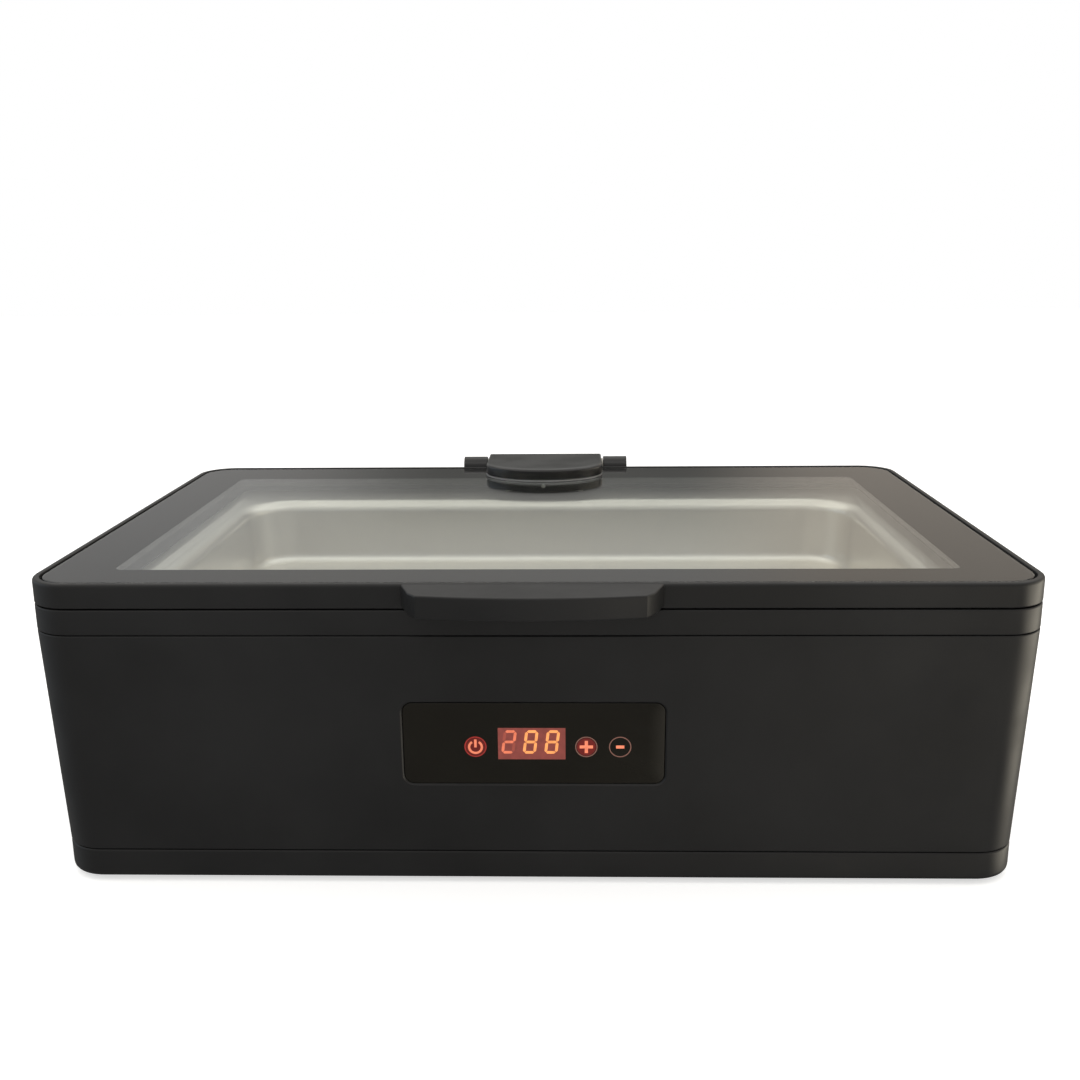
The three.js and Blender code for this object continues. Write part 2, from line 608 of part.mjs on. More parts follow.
// ---- leads -----------------------------------------------------------------
add('mains_lead', cable(smooth([
  [180, 140, 59], [176, 118, 46], [130, 108, 26], [70, 70, 22], [17.5, 28, 23],
], 16), 3), 0x222222, 0.7);
add('heater_lead', cable(smooth([
  [199.5, -80, TUBE_Z], [213, -80, 100], [216, -78, 62], [180, -52, 27], [70, -27, 22],
  [16.5, -23, 23],
], 20), 2.2), 0xc8c2b4, 0.7);
add('panel_lead', cable(smooth([
  [0, -152, 86], [0, -135, 72], [-20, -90, 32], [-40, -60, 20], [-40, -44, 15],
], 14), 1.8), 0x6d6d6d, 0.7);

// ---- lid -------------------------------------------------------------------
const RIM = { bevel: 2.4, inner: 3.3, foot: 4.4 };   // the raised rim round the glass
const FRAME_UNDER = 172.7;     // underside of the ledge that carries the glass
const FRAME_LIP = { w: 2.4, low: 170.8 };
const LID_SKIRT = 3;
const HANDLE_SCREWS = { l: -45, r: 45 };
const HANDLE_SCREW_Z = 170.2;
const HANDLE_SCREW = { head: 2.2, headH: 1.9, shank: 1.2, length: 15.3, hole: 1.5 };
const skirtInside = -CASE_Y + LID_SKIRT;

function lidFrame() {
  const frame = loft([
    caseRing(EDGE, LID_LOW), caseRing(0, LID_LOW + EDGE), caseRing(0, LID_TOP - RIM.bevel),
    caseRing(0.3 * RIM.bevel, LID_TOP - 0.3 * RIM.bevel), caseRing(RIM.bevel, LID_TOP),
    caseRing(RIM.inner, LID_TOP), caseRing(RIM.foot - 0.2, LID_TOP - EDGE),
    caseRing(RIM.foot, LEDGE), planRing(WINDOW, 0, LEDGE), planRing(WINDOW, 0, FRAME_LIP.low),
    planRing(WINDOW, FRAME_LIP.w, FRAME_LIP.low), planRing(WINDOW, FRAME_LIP.w, FRAME_UNDER),
    caseRing(LID_SKIRT, FRAME_UNDER), caseRing(LID_SKIRT, LID_LOW),
  ], { tube: true });
  const hole = alongY(rod(HANDLE_SCREW.hole, -skirtInside - 4, CASE_Y + 3), -1);
  const spots = Object.values(HANDLE_SCREWS).map((x) => [x, 0]);
  return cutAll(frame, spots, hole.translate([0, 0, HANDLE_SCREW_Z]));
}
add('lid_frame', lidFrame(), BLACK, 0.45);

const clampSpots = Object.values(CLAMP_SCREWS).map((x) => [x, CLAMP_SCREW_Y]);
const SCREW_CLEAR = 2.6;       // holes that the clamp screws pass through freely
const GLASS_EDGE = 0.5;
const pane = loft([
  caseRing(GLASS_INSET + GLASS_EDGE, GLASS_TOP - GLASS_T),
  caseRing(GLASS_INSET, GLASS_TOP - GLASS_T + GLASS_EDGE),
  caseRing(GLASS_INSET, GLASS_TOP - GLASS_EDGE), caseRing(GLASS_INSET + GLASS_EDGE, GLASS_TOP),
]);
add('lid_glass', cutAll(pane, clampSpots, rod(SCREW_CLEAR, LEDGE, CAP_TOP)), 0xcfd6d2, 0.05, 0, {
  transparent: true, opacity: 0.35,
});

const SEAL = { x: 250, front: -154.6, back: 151, r: 12 };
const SEAL_W = 3.6;
const SEAL_LOW = 167.4;
const SEAL_LIP = 166.1;
add('lid_seal', loft([
  planRing(SEAL, 0, SEAL_LOW), planRing(SEAL, 0, FRAME_UNDER - GAP),
  planRing(SEAL, -SEAL_W, FRAME_UNDER - GAP), planRing(SEAL, -SEAL_W, SEAL_LOW),
  planRing(SEAL, -SEAL_W / 2, SEAL_LIP),
], { tube: true }), SILICONE, 0.7);

// Handle: flush with the lid's top, bowed out in the middle, splayed at its root.
const HANDLE_CUT = 2;          // how far its front corners are cut off sideways
const HANDLE_CUT_Y = 3;
function handleRing(inset, z) {
  const back = -CASE_Y - GAP;
  const nose = -CASE_Y + inset;
  const tip = HANDLE_TIP - inset;
  const root = HANDLE_ROOT - inset;
  const steps = 10;
  const ring = [[-root, back, z], [-tip, nose - HANDLE_END + HANDLE_CUT_Y, z]];
  for (let i = 0; i <= steps; i += 1) {
    const u = 2 * i / steps - 1;
    const reach = HANDLE_END + (HANDLE_MID - HANDLE_END) * (1 - u * u);
    ring.push([u * (tip - HANDLE_CUT), nose - reach, z]);
  }
  ring.push([tip, nose - HANDLE_END + HANDLE_CUT_Y, z], [root, back, z]);
  return ring;
}
const HANDLE_EDGE = 1.2;
const grip = loft([
  handleRing(1, HANDLE_LOW), handleRing(0, HANDLE_LOW + HANDLE_EDGE),
  handleRing(0, LID_TOP - HANDLE_EDGE), handleRing(1, LID_TOP),
]);
const gripHole = alongY(rod(HANDLE_SCREW.hole, CASE_Y - 1, CASE_Y + 14), -1);
const gripSpots = Object.values(HANDLE_SCREWS).map((x) => [x, 0]);
add('lid_handle', cutAll(grip, gripSpots, gripHole.translate([0, 0, HANDLE_SCREW_Z])), BLACK, 0.4);
for (const [label, x] of Object.entries(HANDLE_SCREWS)) {
  const { head, headH, shank, length } = HANDLE_SCREW;
  const part = alongY(screw(head, headH, shank, length), 1);
  const stood = part.translate([x, skirtInside + GAP, HANDLE_SCREW_Z]);
  add(`handle_screw_${label}`, stood, ZINC, 0.35, 0.9);
}

// ---- hinge -----------------------------------------------------------------
// D-shaped plan: straight sides at the back, half an ellipse at the front.
function dRing(inset, back, z) {
  const nose = new THREE.EllipseCurve(
    0, CAP_FRONT + CAP_NOSE, CAP_X - inset, CAP_NOSE - inset, Math.PI, 2 * Math.PI,
  );
  const front = nose.getPoints(16).filter((p) => p.y < back - EDGE);
  return [[CAP_X - inset, back, z], [inset - CAP_X, back, z], ...ringAt(front, z)];
}

const barrel = (r, seg = ROUND) => circle(PIN.y, PIN.z, r, seg);
const ROLL_R = 11;             // rounding of the cap's back edge
const ROLL_Y = PIN.y + KNUCKLE_R - ROLL_R;
const CAP_EDGE = 1.7;
const SCREW_GRIP = 2;          // holes that the clamp screws bite into
const CAP_HOLE_TOP = 186.6;
const corner = (y, z) => new THREE.Vector2(y, z);

function hingeCap() {
  const slab = loft([
    dRing(EDGE, ROLL_Y, CAP_LOW), dRing(0, ROLL_Y, CAP_LOW + EDGE),
    dRing(0, ROLL_Y, CAP_TOP - CAP_EDGE), dRing(0.3 * CAP_EDGE, ROLL_Y, CAP_TOP - 0.3 * CAP_EDGE),
    dRing(CAP_EDGE, ROLL_Y, CAP_TOP),
  ]);
  const rollZ = CAP_TOP - ROLL_R;
  const roll = barX([
    corner(ROLL_Y - 1, PIN.z + 2), ...arc(ROLL_Y, rollZ, ROLL_R, 0, 90, 6),
    corner(ROLL_Y - 1, CAP_TOP),
  ], CAP_EDGE - CAP_X, CAP_X - CAP_EDGE);
  const cheeks = barX([
    corner(ROLL_Y - 4, CAP_LOW), corner(PIN.y + 6, CAP_LOW),
    ...arc(ROLL_Y, rollZ, ROLL_R - CAP_EDGE, 25, 90, 4), corner(ROLL_Y - 4, CAP_TOP - CAP_EDGE),
  ], -CAP_X, CAP_X);
  const knuckle = barX(barrel(KNUCKLE_R), -CAP_X, CAP_X);
  const bore = barX(barrel(BORE_R), -CAP_X - 1, CAP_X + 1);
  const cap = slab.add(roll).add(cheeks).add(knuckle).subtract(bore);
  return cutAll(cap, clampSpots, rod(SCREW_GRIP, CAP_LOW - 1, CAP_HOLE_TOP));
}
add('hinge_cap', hingeCap(), 0x18181a, 0.2);

const PAD_BACK = 166;
const capPad = loft([
  dRing(0, PAD_BACK, GLASS_TOP + GAP), dRing(0, PAD_BACK, CAP_LOW - GAP),
]);
const clamp = loft([dRing(0, CLAMP_BACK, CLAMP_LOW), dRing(0, CLAMP_BACK, LEDGE)]);
add('hinge_pad', cutAll(capPad, clampSpots, rod(SCREW_CLEAR, GLASS_TOP, CAP_LOW)), SILICONE, 0.7);
add('hinge_clamp', cutAll(clamp, clampSpots, rod(SCREW_GRIP, CLAMP_LOW - 1, LEDGE + 1)), BLACK, 0.45);
const CLAMP_SCREW = { head: 3, headH: 1.7, shank: 1.6, length: 17.3 };
for (const [label, x] of Object.entries(CLAMP_SCREWS)) {
  const { head, headH, shank, length } = CLAMP_SCREW;
  const part = screw(head, headH, shank, length).rotate([180, 0, 0]);
  add(`clamp_screw_${label}`, part.translate([x, CLAMP_SCREW_Y, CLAMP_LOW - GAP]), ZINC, 0.3, 0.9);
}

const BRACKET = { low: 133, high: 165, t: 4, web: 150 };
const BRACKET_HOLE = 1.8;
const bracketFront = CASE_Y + GAP;
const bracketBack = bracketFront + BRACKET.t;

function hingeBracket() {
  const { low, high, web } = BRACKET;
  let bracket = block(-EAR.outer, EAR.outer, bracketFront, bracketBack, low, high, 0.8);
  const ear = [
    corner(bracketFront, web), corner(bracketBack, web), ...arc(PIN.y, PIN.z, EAR.r, -15, 180, 13),
    corner(bracketFront, high),
  ];
  for (const [x0, x1] of [[-EAR.outer, -EAR.inner], [EAR.inner, EAR.outer]]) {
    bracket = bracket.add(barX(ear, x0, x1));
  }
  bracket = bracket.subtract(barX(barrel(BORE_R), -EAR.outer - 1, EAR.outer + 1));
  const hole = alongY(rod(BRACKET_HOLE, bracketFront - 5, bracketBack + 5), 1);
  const spots = Object.values(BRACKET_SCREWS).map((x) => [x, 0]);
  return cutAll(bracket, spots, hole.translate([0, 0, BRACKET_SCREW_Z]));
}
add('hinge_bracket', hingeBracket(), 0x19191a, 0.4);
const BRACKET_SCREW = { head: 3.5, headH: 2.3, shank: 1.4, length: 13.6 };
for (const [label, x] of Object.entries(BRACKET_SCREWS)) {
  const { head, headH, shank, length } = BRACKET_SCREW;
  const part = alongY(screw(head, headH, shank, length), 1);
  const stood = part.translate([x, bracketBack + GAP, BRACKET_SCREW_Z]);
  add(`bracket_screw_${label}`, stood, ZINC, 0.35, 0.9);
}

add('hinge_pin', barX(barrel(PIN.r), -PIN.half, PIN.half), 0xa7a9ab, 0.25, 1);
const WASHER = { r: 7.6, bore: 3.4, inner: 46.6, outer: 47.6, seg: 16 };
for (const [label, x0, x1] of [
  ['l', -WASHER.outer, -WASHER.inner], ['r', WASHER.inner, WASHER.outer],
]) {
  const hole = barX(barrel(WASHER.bore, WASHER.seg), x0 - 1, x1 + 1);
  const washer = barX(barrel(WASHER.r, WASHER.seg), x0, x1).subtract(hole);
  add(`hinge_washer_${label}`, washer, 0xd8d4c8, 0.5);
}

export default heater;
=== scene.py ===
import json
from math import atan, cos, pi, radians, sin, sqrt

import bmesh
import bpy
import numpy as np
from mathutils import Matrix, Vector

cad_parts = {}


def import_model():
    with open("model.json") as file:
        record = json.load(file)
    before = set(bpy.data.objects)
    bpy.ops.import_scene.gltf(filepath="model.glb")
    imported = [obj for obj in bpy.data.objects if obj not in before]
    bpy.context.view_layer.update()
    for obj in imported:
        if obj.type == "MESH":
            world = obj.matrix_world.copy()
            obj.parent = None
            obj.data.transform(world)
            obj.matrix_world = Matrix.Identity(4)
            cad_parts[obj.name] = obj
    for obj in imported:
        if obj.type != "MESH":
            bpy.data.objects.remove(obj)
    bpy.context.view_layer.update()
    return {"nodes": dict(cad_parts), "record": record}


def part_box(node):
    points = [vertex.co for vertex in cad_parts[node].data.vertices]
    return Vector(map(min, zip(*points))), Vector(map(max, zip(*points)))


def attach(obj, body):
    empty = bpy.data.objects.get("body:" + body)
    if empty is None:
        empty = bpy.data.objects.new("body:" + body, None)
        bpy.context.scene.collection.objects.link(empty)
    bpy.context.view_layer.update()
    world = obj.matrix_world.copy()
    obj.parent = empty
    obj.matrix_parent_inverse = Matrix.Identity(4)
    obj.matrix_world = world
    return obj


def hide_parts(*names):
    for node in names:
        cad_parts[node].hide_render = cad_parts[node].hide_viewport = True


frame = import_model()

MM = 0.001


# ---- sizes taken from the frame ---------------------------------------------
def span(node):
    """Lowest and highest corner of a CAD node's box."""
    low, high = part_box(node)
    return np.array(low), np.array(high)


def middle(node):
    low, high = span(node)
    return (low + high) / 2


shell_low, shell_high = span("body_shell")
tray_low, tray_high = span("base_tray")
ring_low, ring_high = span("top_ring")
frame_low, frame_high = span("lid_frame")
glass_low, glass_high = span("lid_glass")
pan_low, pan_high = span("stone_pan")
panel_low, panel_high = span("control_panel")
handle_low, handle_high = span("lid_handle")
cap_low, cap_high = span("hinge_cap")
bracket_low, bracket_high = span("hinge_bracket")
clamp_low, clamp_high = span("hinge_clamp")
pin_low, pin_high = span("hinge_pin")

CASE_X = shell_high[0]
CASE_Y = (frame_high[1] - frame_low[1]) / 2
MID_Y = (frame_high[1] + frame_low[1]) / 2
CASE_R = 25 * MM
DRAFT = CASE_X - tray_high[0]
WALL = 2.8 * MM
SHELL_LOW = shell_low[2]
SHELL_TOP = shell_high[2]
BASE_TOP = SHELL_LOW - 0.4 * MM
RING_LOW = SHELL_TOP + 0.4 * MM
RING_TOP = ring_high[2]
LID_LOW = frame_low[2]
LID_TOP = frame_high[2]
LEDGE = glass_low[2] - 0.3 * MM
TILT = atan(DRAFT / (SHELL_TOP - SHELL_LOW))
WINDOW = dict(x=239.7 * MM, front=-140.3 * MM, back=130 * MM, r=5 * MM)
OPENING = dict(x=242 * MM, front=-142.4 * MM, back=132.2 * MM, r=7 * MM)
PAN_CX = (pan_low[0] + pan_high[0]) / 2
PAN_WALL = dict(cx=PAN_CX, x=223.8 * MM, front=-125.5 * MM, back=99.5 * MM, r=31.5 * MM)
PAN_EDGE = dict(
    cx=PAN_CX, x=pan_high[0] - PAN_CX, front=pan_low[1] - MID_Y, back=pan_high[1] - MID_Y, r=8 * MM,
)
PAN_BEND = 9 * MM
SHELF_TOP = 162 * MM
SHELF_LOW = 159 * MM
SHELF_REACH = 9 * MM
PAN_FLOOR = pan_low[2] + 1.2 * MM
PAN_MOUTH = pan_high[2] - 1.7 * MM
PIN_Y = (pin_low[1] + pin_high[1]) / 2
PIN_Z = (pin_low[2] + pin_high[2]) / 2

FINE = 20  # segments in each big vertical corner
CORNERS = ("fl", "fr", "bl", "br")


# ---- mesh helpers -----------------------------------------------------------
def rounded(x0, x1, y0, y1, r, z, seg=FINE):
    """Rounded rectangle at height z, anticlockwise from above."""
    centres = ((x1 - r, y1 - r), (x0 + r, y1 - r), (x0 + r, y0 + r), (x1 - r, y0 + r))
    points = []
    for quarter, (cx, cy) in enumerate(centres):
        for i in range(seg + 1):
            a = (quarter + i / seg) * pi / 2
            points.append((cx + r * cos(a), cy + r * sin(a), z))
    return np.array(points)


def case_ring(inset, z):
    """Outline of the casing at height z, moved in by inset; it leans in below the shell's top."""
    lean = DRAFT * min(max((SHELL_TOP - z) / (SHELL_TOP - SHELL_LOW), 0), 1)
    d = inset + lean
    r = max(CASE_R - inset, 2 * MM)
    return rounded(d - CASE_X, CASE_X - d, MID_Y - CASE_Y + d, MID_Y + CASE_Y - d, r, z)


def plan_ring(plan, grow, z, seg=FINE):
    """Outline given by its middle, half width, front, back and corner radius, grown outwards."""
    cx = plan.get("cx", 0)
    x = plan["x"] + grow
    y0 = MID_Y + plan["front"] - grow
    y1 = MID_Y + plan["back"] + grow
    return rounded(cx - x, cx + x, y0, y1, plan["r"] + grow, z, seg)


def eased(rings, closed, steps=4):
    """Rounds a section: rings is a list of (ring, reach), reach being how far each rounding runs."""
    out = []
    count = len(rings)
    for i, (ring, reach) in enumerate(rings):
        end = not closed and i in (0, count - 1)
        if reach == 0 or end:
            out.append(ring)
            continue
        before = rings[i - 1][0] - ring
        after = rings[(i + 1) % count][0] - ring
        len_b = np.linalg.norm(before, axis=1, keepdims=True)
        len_a = np.linalg.norm(after, axis=1, keepdims=True)
        start = ring + before / len_b * np.minimum(reach, len_b * 0.49)
        finish = ring + after / len_a * np.minimum(reach, len_a * 0.49)
        for k in range(steps + 1):
            s = k / steps
            out.append((1 - s) ** 2 * start + 2 * s * (1 - s) * ring + s * s * finish)
    return out


def build(name, verts, faces, angle=30):
    """New mesh object with its faces turned outwards and its edges sharp past the angle."""
    mesh = bpy.data.meshes.new(name)
    mesh.from_pydata([tuple(v) for v in verts], [], faces)
    mesh.validate()
    shape = bmesh.new()
    shape.from_mesh(mesh)
    if shape.calc_volume(signed=True) < 0:
        bmesh.ops.reverse_faces(shape, faces=shape.faces)
        shape.to_mesh(mesh)
    shape.free()
    mesh.shade_smooth()
    mesh.set_sharp_from_angle(angle=radians(angle))
    mesh.update()
    piece = bpy.data.objects.new(name, mesh)
    bpy.context.scene.collection.objects.link(piece)
    return piece


def skin(name, rings, closed=False, angle=30):
    """Closed mesh through rings of equal length; open lofts are capped at both ends."""
    n = len(rings[0])
    faces = []
    for i in range(len(rings) if closed else len(rings) - 1):
        a = i * n
        b = (i + 1) % len(rings) * n
        for j in range(n):
            k = (j + 1) % n
            faces.append((a + j, a + k, b + k, b + j))
    if not closed:
        last = (len(rings) - 1) * n
        faces.append(tuple(range(n - 1, -1, -1)))
        faces.append(tuple(range(last, last + n)))
    verts = np.concatenate(rings)
    return build(name, verts, faces, angle)


def combine(piece, other, operation, angle=30):
    """Cuts or joins another closed mesh, then drops it."""
    cut = piece.modifiers.new("cut", "BOOLEAN")
    cut.object = other
    cut.operation = operation
    cut.solver = "EXACT"
    graph = bpy.context.evaluated_depsgraph_get()
    mesh = bpy.data.meshes.new_from_object(piece.evaluated_get(graph))
    piece.modifiers.clear()
    piece.data = mesh
    mesh.shade_smooth()
    mesh.set_sharp_from_angle(angle=radians(angle))
    bpy.data.objects.remove(other)
    return piece


def settle(piece, matrix):
    piece.data.transform(matrix)
    return piece


def finish_piece(piece, body, slot, look, *nodes):
    """Rides on its body, stands for its CAD nodes and takes its material."""
    piece.data.materials.clear()
    piece.data.materials.append(look)
    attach(piece, body)
    if nodes:
        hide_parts(*nodes)
    return piece


def turned(name, profile, seg=48, angle=30):
    """Solid of revolution about +Z from (radius, z) pairs, lowest first."""
    rings = []
    for r, z in profile:
        rings.append(np.array([
            (r * cos(2 * pi * i / seg), r * sin(2 * pi * i / seg), z) for i in range(seg)
        ]))
    return skin(name, rings, angle=angle)


def on_wall(side, x, z):
    """Places a solid drawn round the origin on the leaning front (-1) or back (1) wall."""
    lean = DRAFT * (SHELL_TOP - z) / (SHELL_TOP - SHELL_LOW)
    place = Matrix.Translation((x, MID_Y + side * (CASE_Y - lean), z))
    return place @ Matrix.Rotation(-side * TILT, 4, "X")


def wall_ring(w, h, r, y, seg=12):
    ring = rounded(-w / 2, w / 2, -h / 2, h / 2, r, y, seg)
    return ring[:, [0, 2, 1]]


def along_y(side):
    """Turns +Z to +Y (side 1) or -Y (side -1)."""
    return Matrix.Rotation(-side * pi / 2, 4, "X")


# ---- materials --------------------------------------------------------------
class Look:
    """A Principled material with procedural detail in object space."""

    def __init__(self, name, colour, rough, **sockets):
        self.material = bpy.data.materials.new(name)
        self.material.use_nodes = True
        self.tree = self.material.node_tree
        self.shader = self.tree.nodes["Principled BSDF"]
        self.coords = self.tree.nodes.new("ShaderNodeTexCoord")
        self.shader.inputs["Base Color"].default_value = (*colour, 1)
        self.shader.inputs["Roughness"].default_value = rough
        for socket, value in sockets.items():
            self.shader.inputs[socket.replace("_", " ")].default_value = value
        self.bump_in = None

    def noise(self, scale, detail=3, stretch=(1, 1, 1)):
        mapping = self.tree.nodes.new("ShaderNodeMapping")
        mapping.inputs["Scale"].default_value = stretch
        texture = self.tree.nodes.new("ShaderNodeTexNoise")
        texture.inputs["Scale"].default_value = scale
        texture.inputs["Detail"].default_value = detail
        self.tree.links.new(self.coords.outputs["Object"], mapping.inputs["Vector"])
        self.tree.links.new(mapping.outputs["Vector"], texture.inputs["Vector"])
        return texture.outputs["Fac"]

    def ramp(self, value, low, high, start=0.35, stop=0.65):
        node = self.tree.nodes.new("ShaderNodeMapRange")
        node.inputs["From Min"].default_value = start
        node.inputs["From Max"].default_value = stop
        node.inputs["To Min"].default_value = low
        node.inputs["To Max"].default_value = high
        self.tree.links.new(value, node.inputs["Value"])
        return node.outputs["Result"]

    def tint(self, value, first, second):
        """Base colour that drifts between two tones."""
        mix = self.tree.nodes.new("ShaderNodeMix")
        mix.data_type = "RGBA"
        mix.inputs["A"].default_value = (*first, 1)
        mix.inputs["B"].default_value = (*second, 1)
        self.tree.links.new(value, mix.inputs["Factor"])
        self.tree.links.new(mix.outputs["Result"], self.shader.inputs["Base Color"])
        return self

    def vary_roughness(self, value, low, high):
        result = self.ramp(value, low, high)
        self.tree.links.new(result, self.shader.inputs["Roughness"])
        return self

    def bump(self, value, strength, distance):
        node = self.tree.nodes.new("ShaderNodeBump")
        node.inputs["Strength"].default_value = strength
        node.inputs["Distance"].default_value = distance
        self.tree.links.new(value, node.inputs["Height"])
        if self.bump_in is not None:
            self.tree.links.new(self.bump_in, node.inputs["Normal"])
        self.tree.links.new(node.outputs["Normal"], self.shader.inputs["Normal"])
        self.bump_in = node.outputs["Normal"]
        return self


def moulded(name, colour, rough, grain=2600, depth=0.012, level=0.35):
    """Satin moulded plastic: fine spark grain, faint flow marks and handling smudges."""
    look = Look(name, colour, rough, Specular_IOR_Level=level)
    worn = tuple(min(c * 1.35 + 0.001, 1) for c in colour)
    look.tint(look.ramp(look.noise(9, 4), 0, 1), colour, worn)
    look.vary_roughness(look.noise(26, 5), rough - 0.05, rough + 0.06)
    look.bump(look.noise(grain, 2), 0.35, depth * MM)
    look.bump(look.noise(14, 2), 0.1, 0.1 * MM)
    return look.material


def glossy(name, colour, rough, level=0.4):
    """Polished plastic: a slight orange peel and faint wipe marks."""
    look = Look(name, colour, rough, Specular_IOR_Level=level)
    worn = tuple(c * 1.3 for c in colour)
    look.tint(look.ramp(look.noise(12, 4), 0, 1), colour, worn)
    look.vary_roughness(look.noise(40, 5, (1, 1, 3)), rough * 0.7, rough * 1.5)
    look.bump(look.noise(120, 2), 0.04, 0.05 * MM)
    return look.material


def steel(name, colour, rough, stretch=(1, 40, 1), grain=90, metal=1.0):
    """Satin metal with drawn lines across the stretch."""
    look = Look(name, colour, rough, Metallic=metal)
    soft = tuple(c * 0.96 for c in colour)
    lines = look.noise(grain, 3, stretch)
    look.tint(look.ramp(look.noise(5, 2), 0, 1), colour, soft)
    look.vary_roughness(lines, rough - 0.02, rough + 0.03)
    look.bump(lines, 0.03, 0.01 * MM)
    return look.material


def matt(name, colour, rough=0.8, grain=1500, depth=0.03):
    """Rubber, silicone, sleeves and fibre."""
    look = Look(name, colour, rough, Specular_IOR_Level=0.3)
    worn = tuple(min(c * 1.25 + 0.002, 1) for c in colour)
    look.tint(look.ramp(look.noise(30, 4), 0, 1), colour, worn)
    look.bump(look.noise(grain, 3), 0.4, depth * MM)
    return look.material


def clear_glass():
    """Tempered float glass with a faint green body; lamps shine through it."""
    look = Look("clear_glass", (0.96, 0.985, 0.97), 0.0, IOR=1.5)
    look.shader.inputs["Transmission Weight"].default_value = 1
    look.vary_roughness(look.noise(6, 4), 0.0, 0.012)
    nodes, links = look.tree.nodes, look.tree.links
    path = nodes.new("ShaderNodeLightPath")
    through = nodes.new("ShaderNodeBsdfTransparent")
    through.inputs["Color"].default_value = (0.86, 0.88, 0.87, 1)
    mix = nodes.new("ShaderNodeMixShader")
    links.new(path.outputs["Is Shadow Ray"], mix.inputs["Fac"])
    links.new(look.shader.outputs["BSDF"], mix.inputs[1])
    links.new(through.outputs["BSDF"], mix.inputs[2])
    links.new(mix.outputs["Shader"], nodes["Material Output"].inputs["Surface"])
    return look.material


def fired_print():
    """Ceramic ink seen through the glass it is fired on: no shine of its own, slightly uneven."""
    look = Look("print_black", (0.006, 0.006, 0.006), 0.9, Specular_IOR_Level=0.0)
    look.tint(look.ramp(look.noise(12, 4), 0, 1), (0.006, 0.006, 0.006), (0.009, 0.009, 0.009))
    return look.material


def lit(name, colour, glow, strength, rough=0.4):
    """Backlit print: its glow is a little uneven, as light spreads behind it."""
    look = Look(name, colour, rough, Emission_Strength=strength)
    look.shader.inputs["Emission Color"].default_value = (*glow, 1)
    mix = look.tree.nodes.new("ShaderNodeMix")
    mix.data_type = "RGBA"
    mix.inputs["A"].default_value = (*glow, 1)
    mix.inputs["B"].default_value = (*[c * 0.75 for c in glow], 1)
    look.tree.links.new(look.ramp(look.noise(260, 2), 0, 1), mix.inputs["Factor"])
    look.tree.links.new(mix.outputs["Result"], look.shader.inputs["Emission Color"])
    return look.material


casing_black = moulded("casing_black", (0.009, 0.009, 0.0093), 0.42, level=0.29)
lid_black = moulded("lid_black", (0.0095, 0.0095, 0.0097), 0.38, level=0.29)
rubber_black = matt("rubber_black", (0.012, 0.012, 0.012))
silicone_grey = matt("silicone_grey", (0.10, 0.10, 0.10), 0.6)
stainless = steel("stainless", (0.70, 0.675, 0.62), 0.31)
print_black = fired_print()
panel_black = glossy("panel_black", (0.008, 0.007, 0.005), 0.10, 0.3)
hinge_black = glossy("hinge_black", (0.006, 0.006, 0.0065), 0.16)
clamp_black = moulded("clamp_black", (0.012, 0.012, 0.012), 0.35)
zinc = steel("zinc", (0.48, 0.48, 0.47), 0.3, (1, 1, 1), 300)
glass_clear = clear_glass()

CAD_LOOKS = {
    "grey_silicone": silicone_grey,
    "pad_silicone": matt("pad_silicone", (0.24, 0.24, 0.245), 0.45),
    "satin_stainless": stainless,
    "heater_aluminium": steel("heater_aluminium", (0.6, 0.6, 0.61), 0.35, (40, 1, 1)),
    "element_sheath": steel("element_sheath", (0.2, 0.17, 0.14), 0.45, (1, 1, 1), 200),
    "ceramic_fibre": matt("ceramic_fibre", (0.72, 0.69, 0.61), 0.95, 500, 0.4),
    "shield_sheet": steel("shield_sheet", (0.6, 0.61, 0.62), 0.32),
    "phenolic_brown": moulded("phenolic_brown", (0.03, 0.02, 0.015), 0.5),
    "display_red": glossy("display_case", (0.06, 0.012, 0.009), 0.4),
    "circuit_green": glossy("circuit_green", (0.02, 0.1, 0.04), 0.35),
    "relay_blue": moulded("relay_blue", (0.02, 0.07, 0.25), 0.45),
    "transformer_steel": steel("transformer_steel", (0.1, 0.09, 0.08), 0.5, (1, 1, 30)),
    "terminal_green": moulded("terminal_green", (0.03, 0.16, 0.05), 0.5),
    "inlet_black": moulded("inlet_black", (0.011, 0.011, 0.011), 0.45),
    "inlet_brass": steel("inlet_brass", (0.7, 0.52, 0.22), 0.25, (1, 1, 20)),
    "touch_spring": steel("touch_spring", (0.6, 0.4, 0.15), 0.3, (1, 1, 1), 200),
    "lead_black": matt("lead_black", (0.015, 0.015, 0.015), 0.6),
    "lead_white": matt("lead_white", (0.55, 0.52, 0.46), 0.8),
    "lead_grey": matt("lead_grey", (0.18, 0.18, 0.18), 0.6),
    "pin_steel": steel("pin_steel", (0.55, 0.55, 0.55), 0.22, (30, 1, 1)),
    "zinc_screw": zinc,
    "washer_nylon": moulded("washer_nylon", (0.6, 0.57, 0.5), 0.5),
    "black_rubber": rubber_black,
    "casing_black": casing_black,
    "lid_black": lid_black,
    "panel_gloss": panel_black,
    "hinge_gloss": hinge_black,
    "clamp_black": clamp_black,
    "lid_glass": glass_clear,
}
for row in frame["record"]["subparts"]:
    node = frame["nodes"][row["node"]]
    for place in node.material_slots:
        place.material = CAD_LOOKS[row["material_slot"]]


# ---- base tray, feet and casing ---------------------------------------------
def well(radius, low, high, x, y, seg=32):
    post = turned("well", [(radius, low), (radius, high)], seg)
    return settle(post, Matrix.Translation((x, y, 0)))


def slot_cutter(x, half_width, half_length, low, high):
    y0, y1 = MID_Y - half_length, MID_Y + half_length
    r = half_width * 0.98
    return skin("cutter", [
        rounded(x - half_width, x + half_width, y0, y1, r, z, 6) for z in (low, high)
    ])


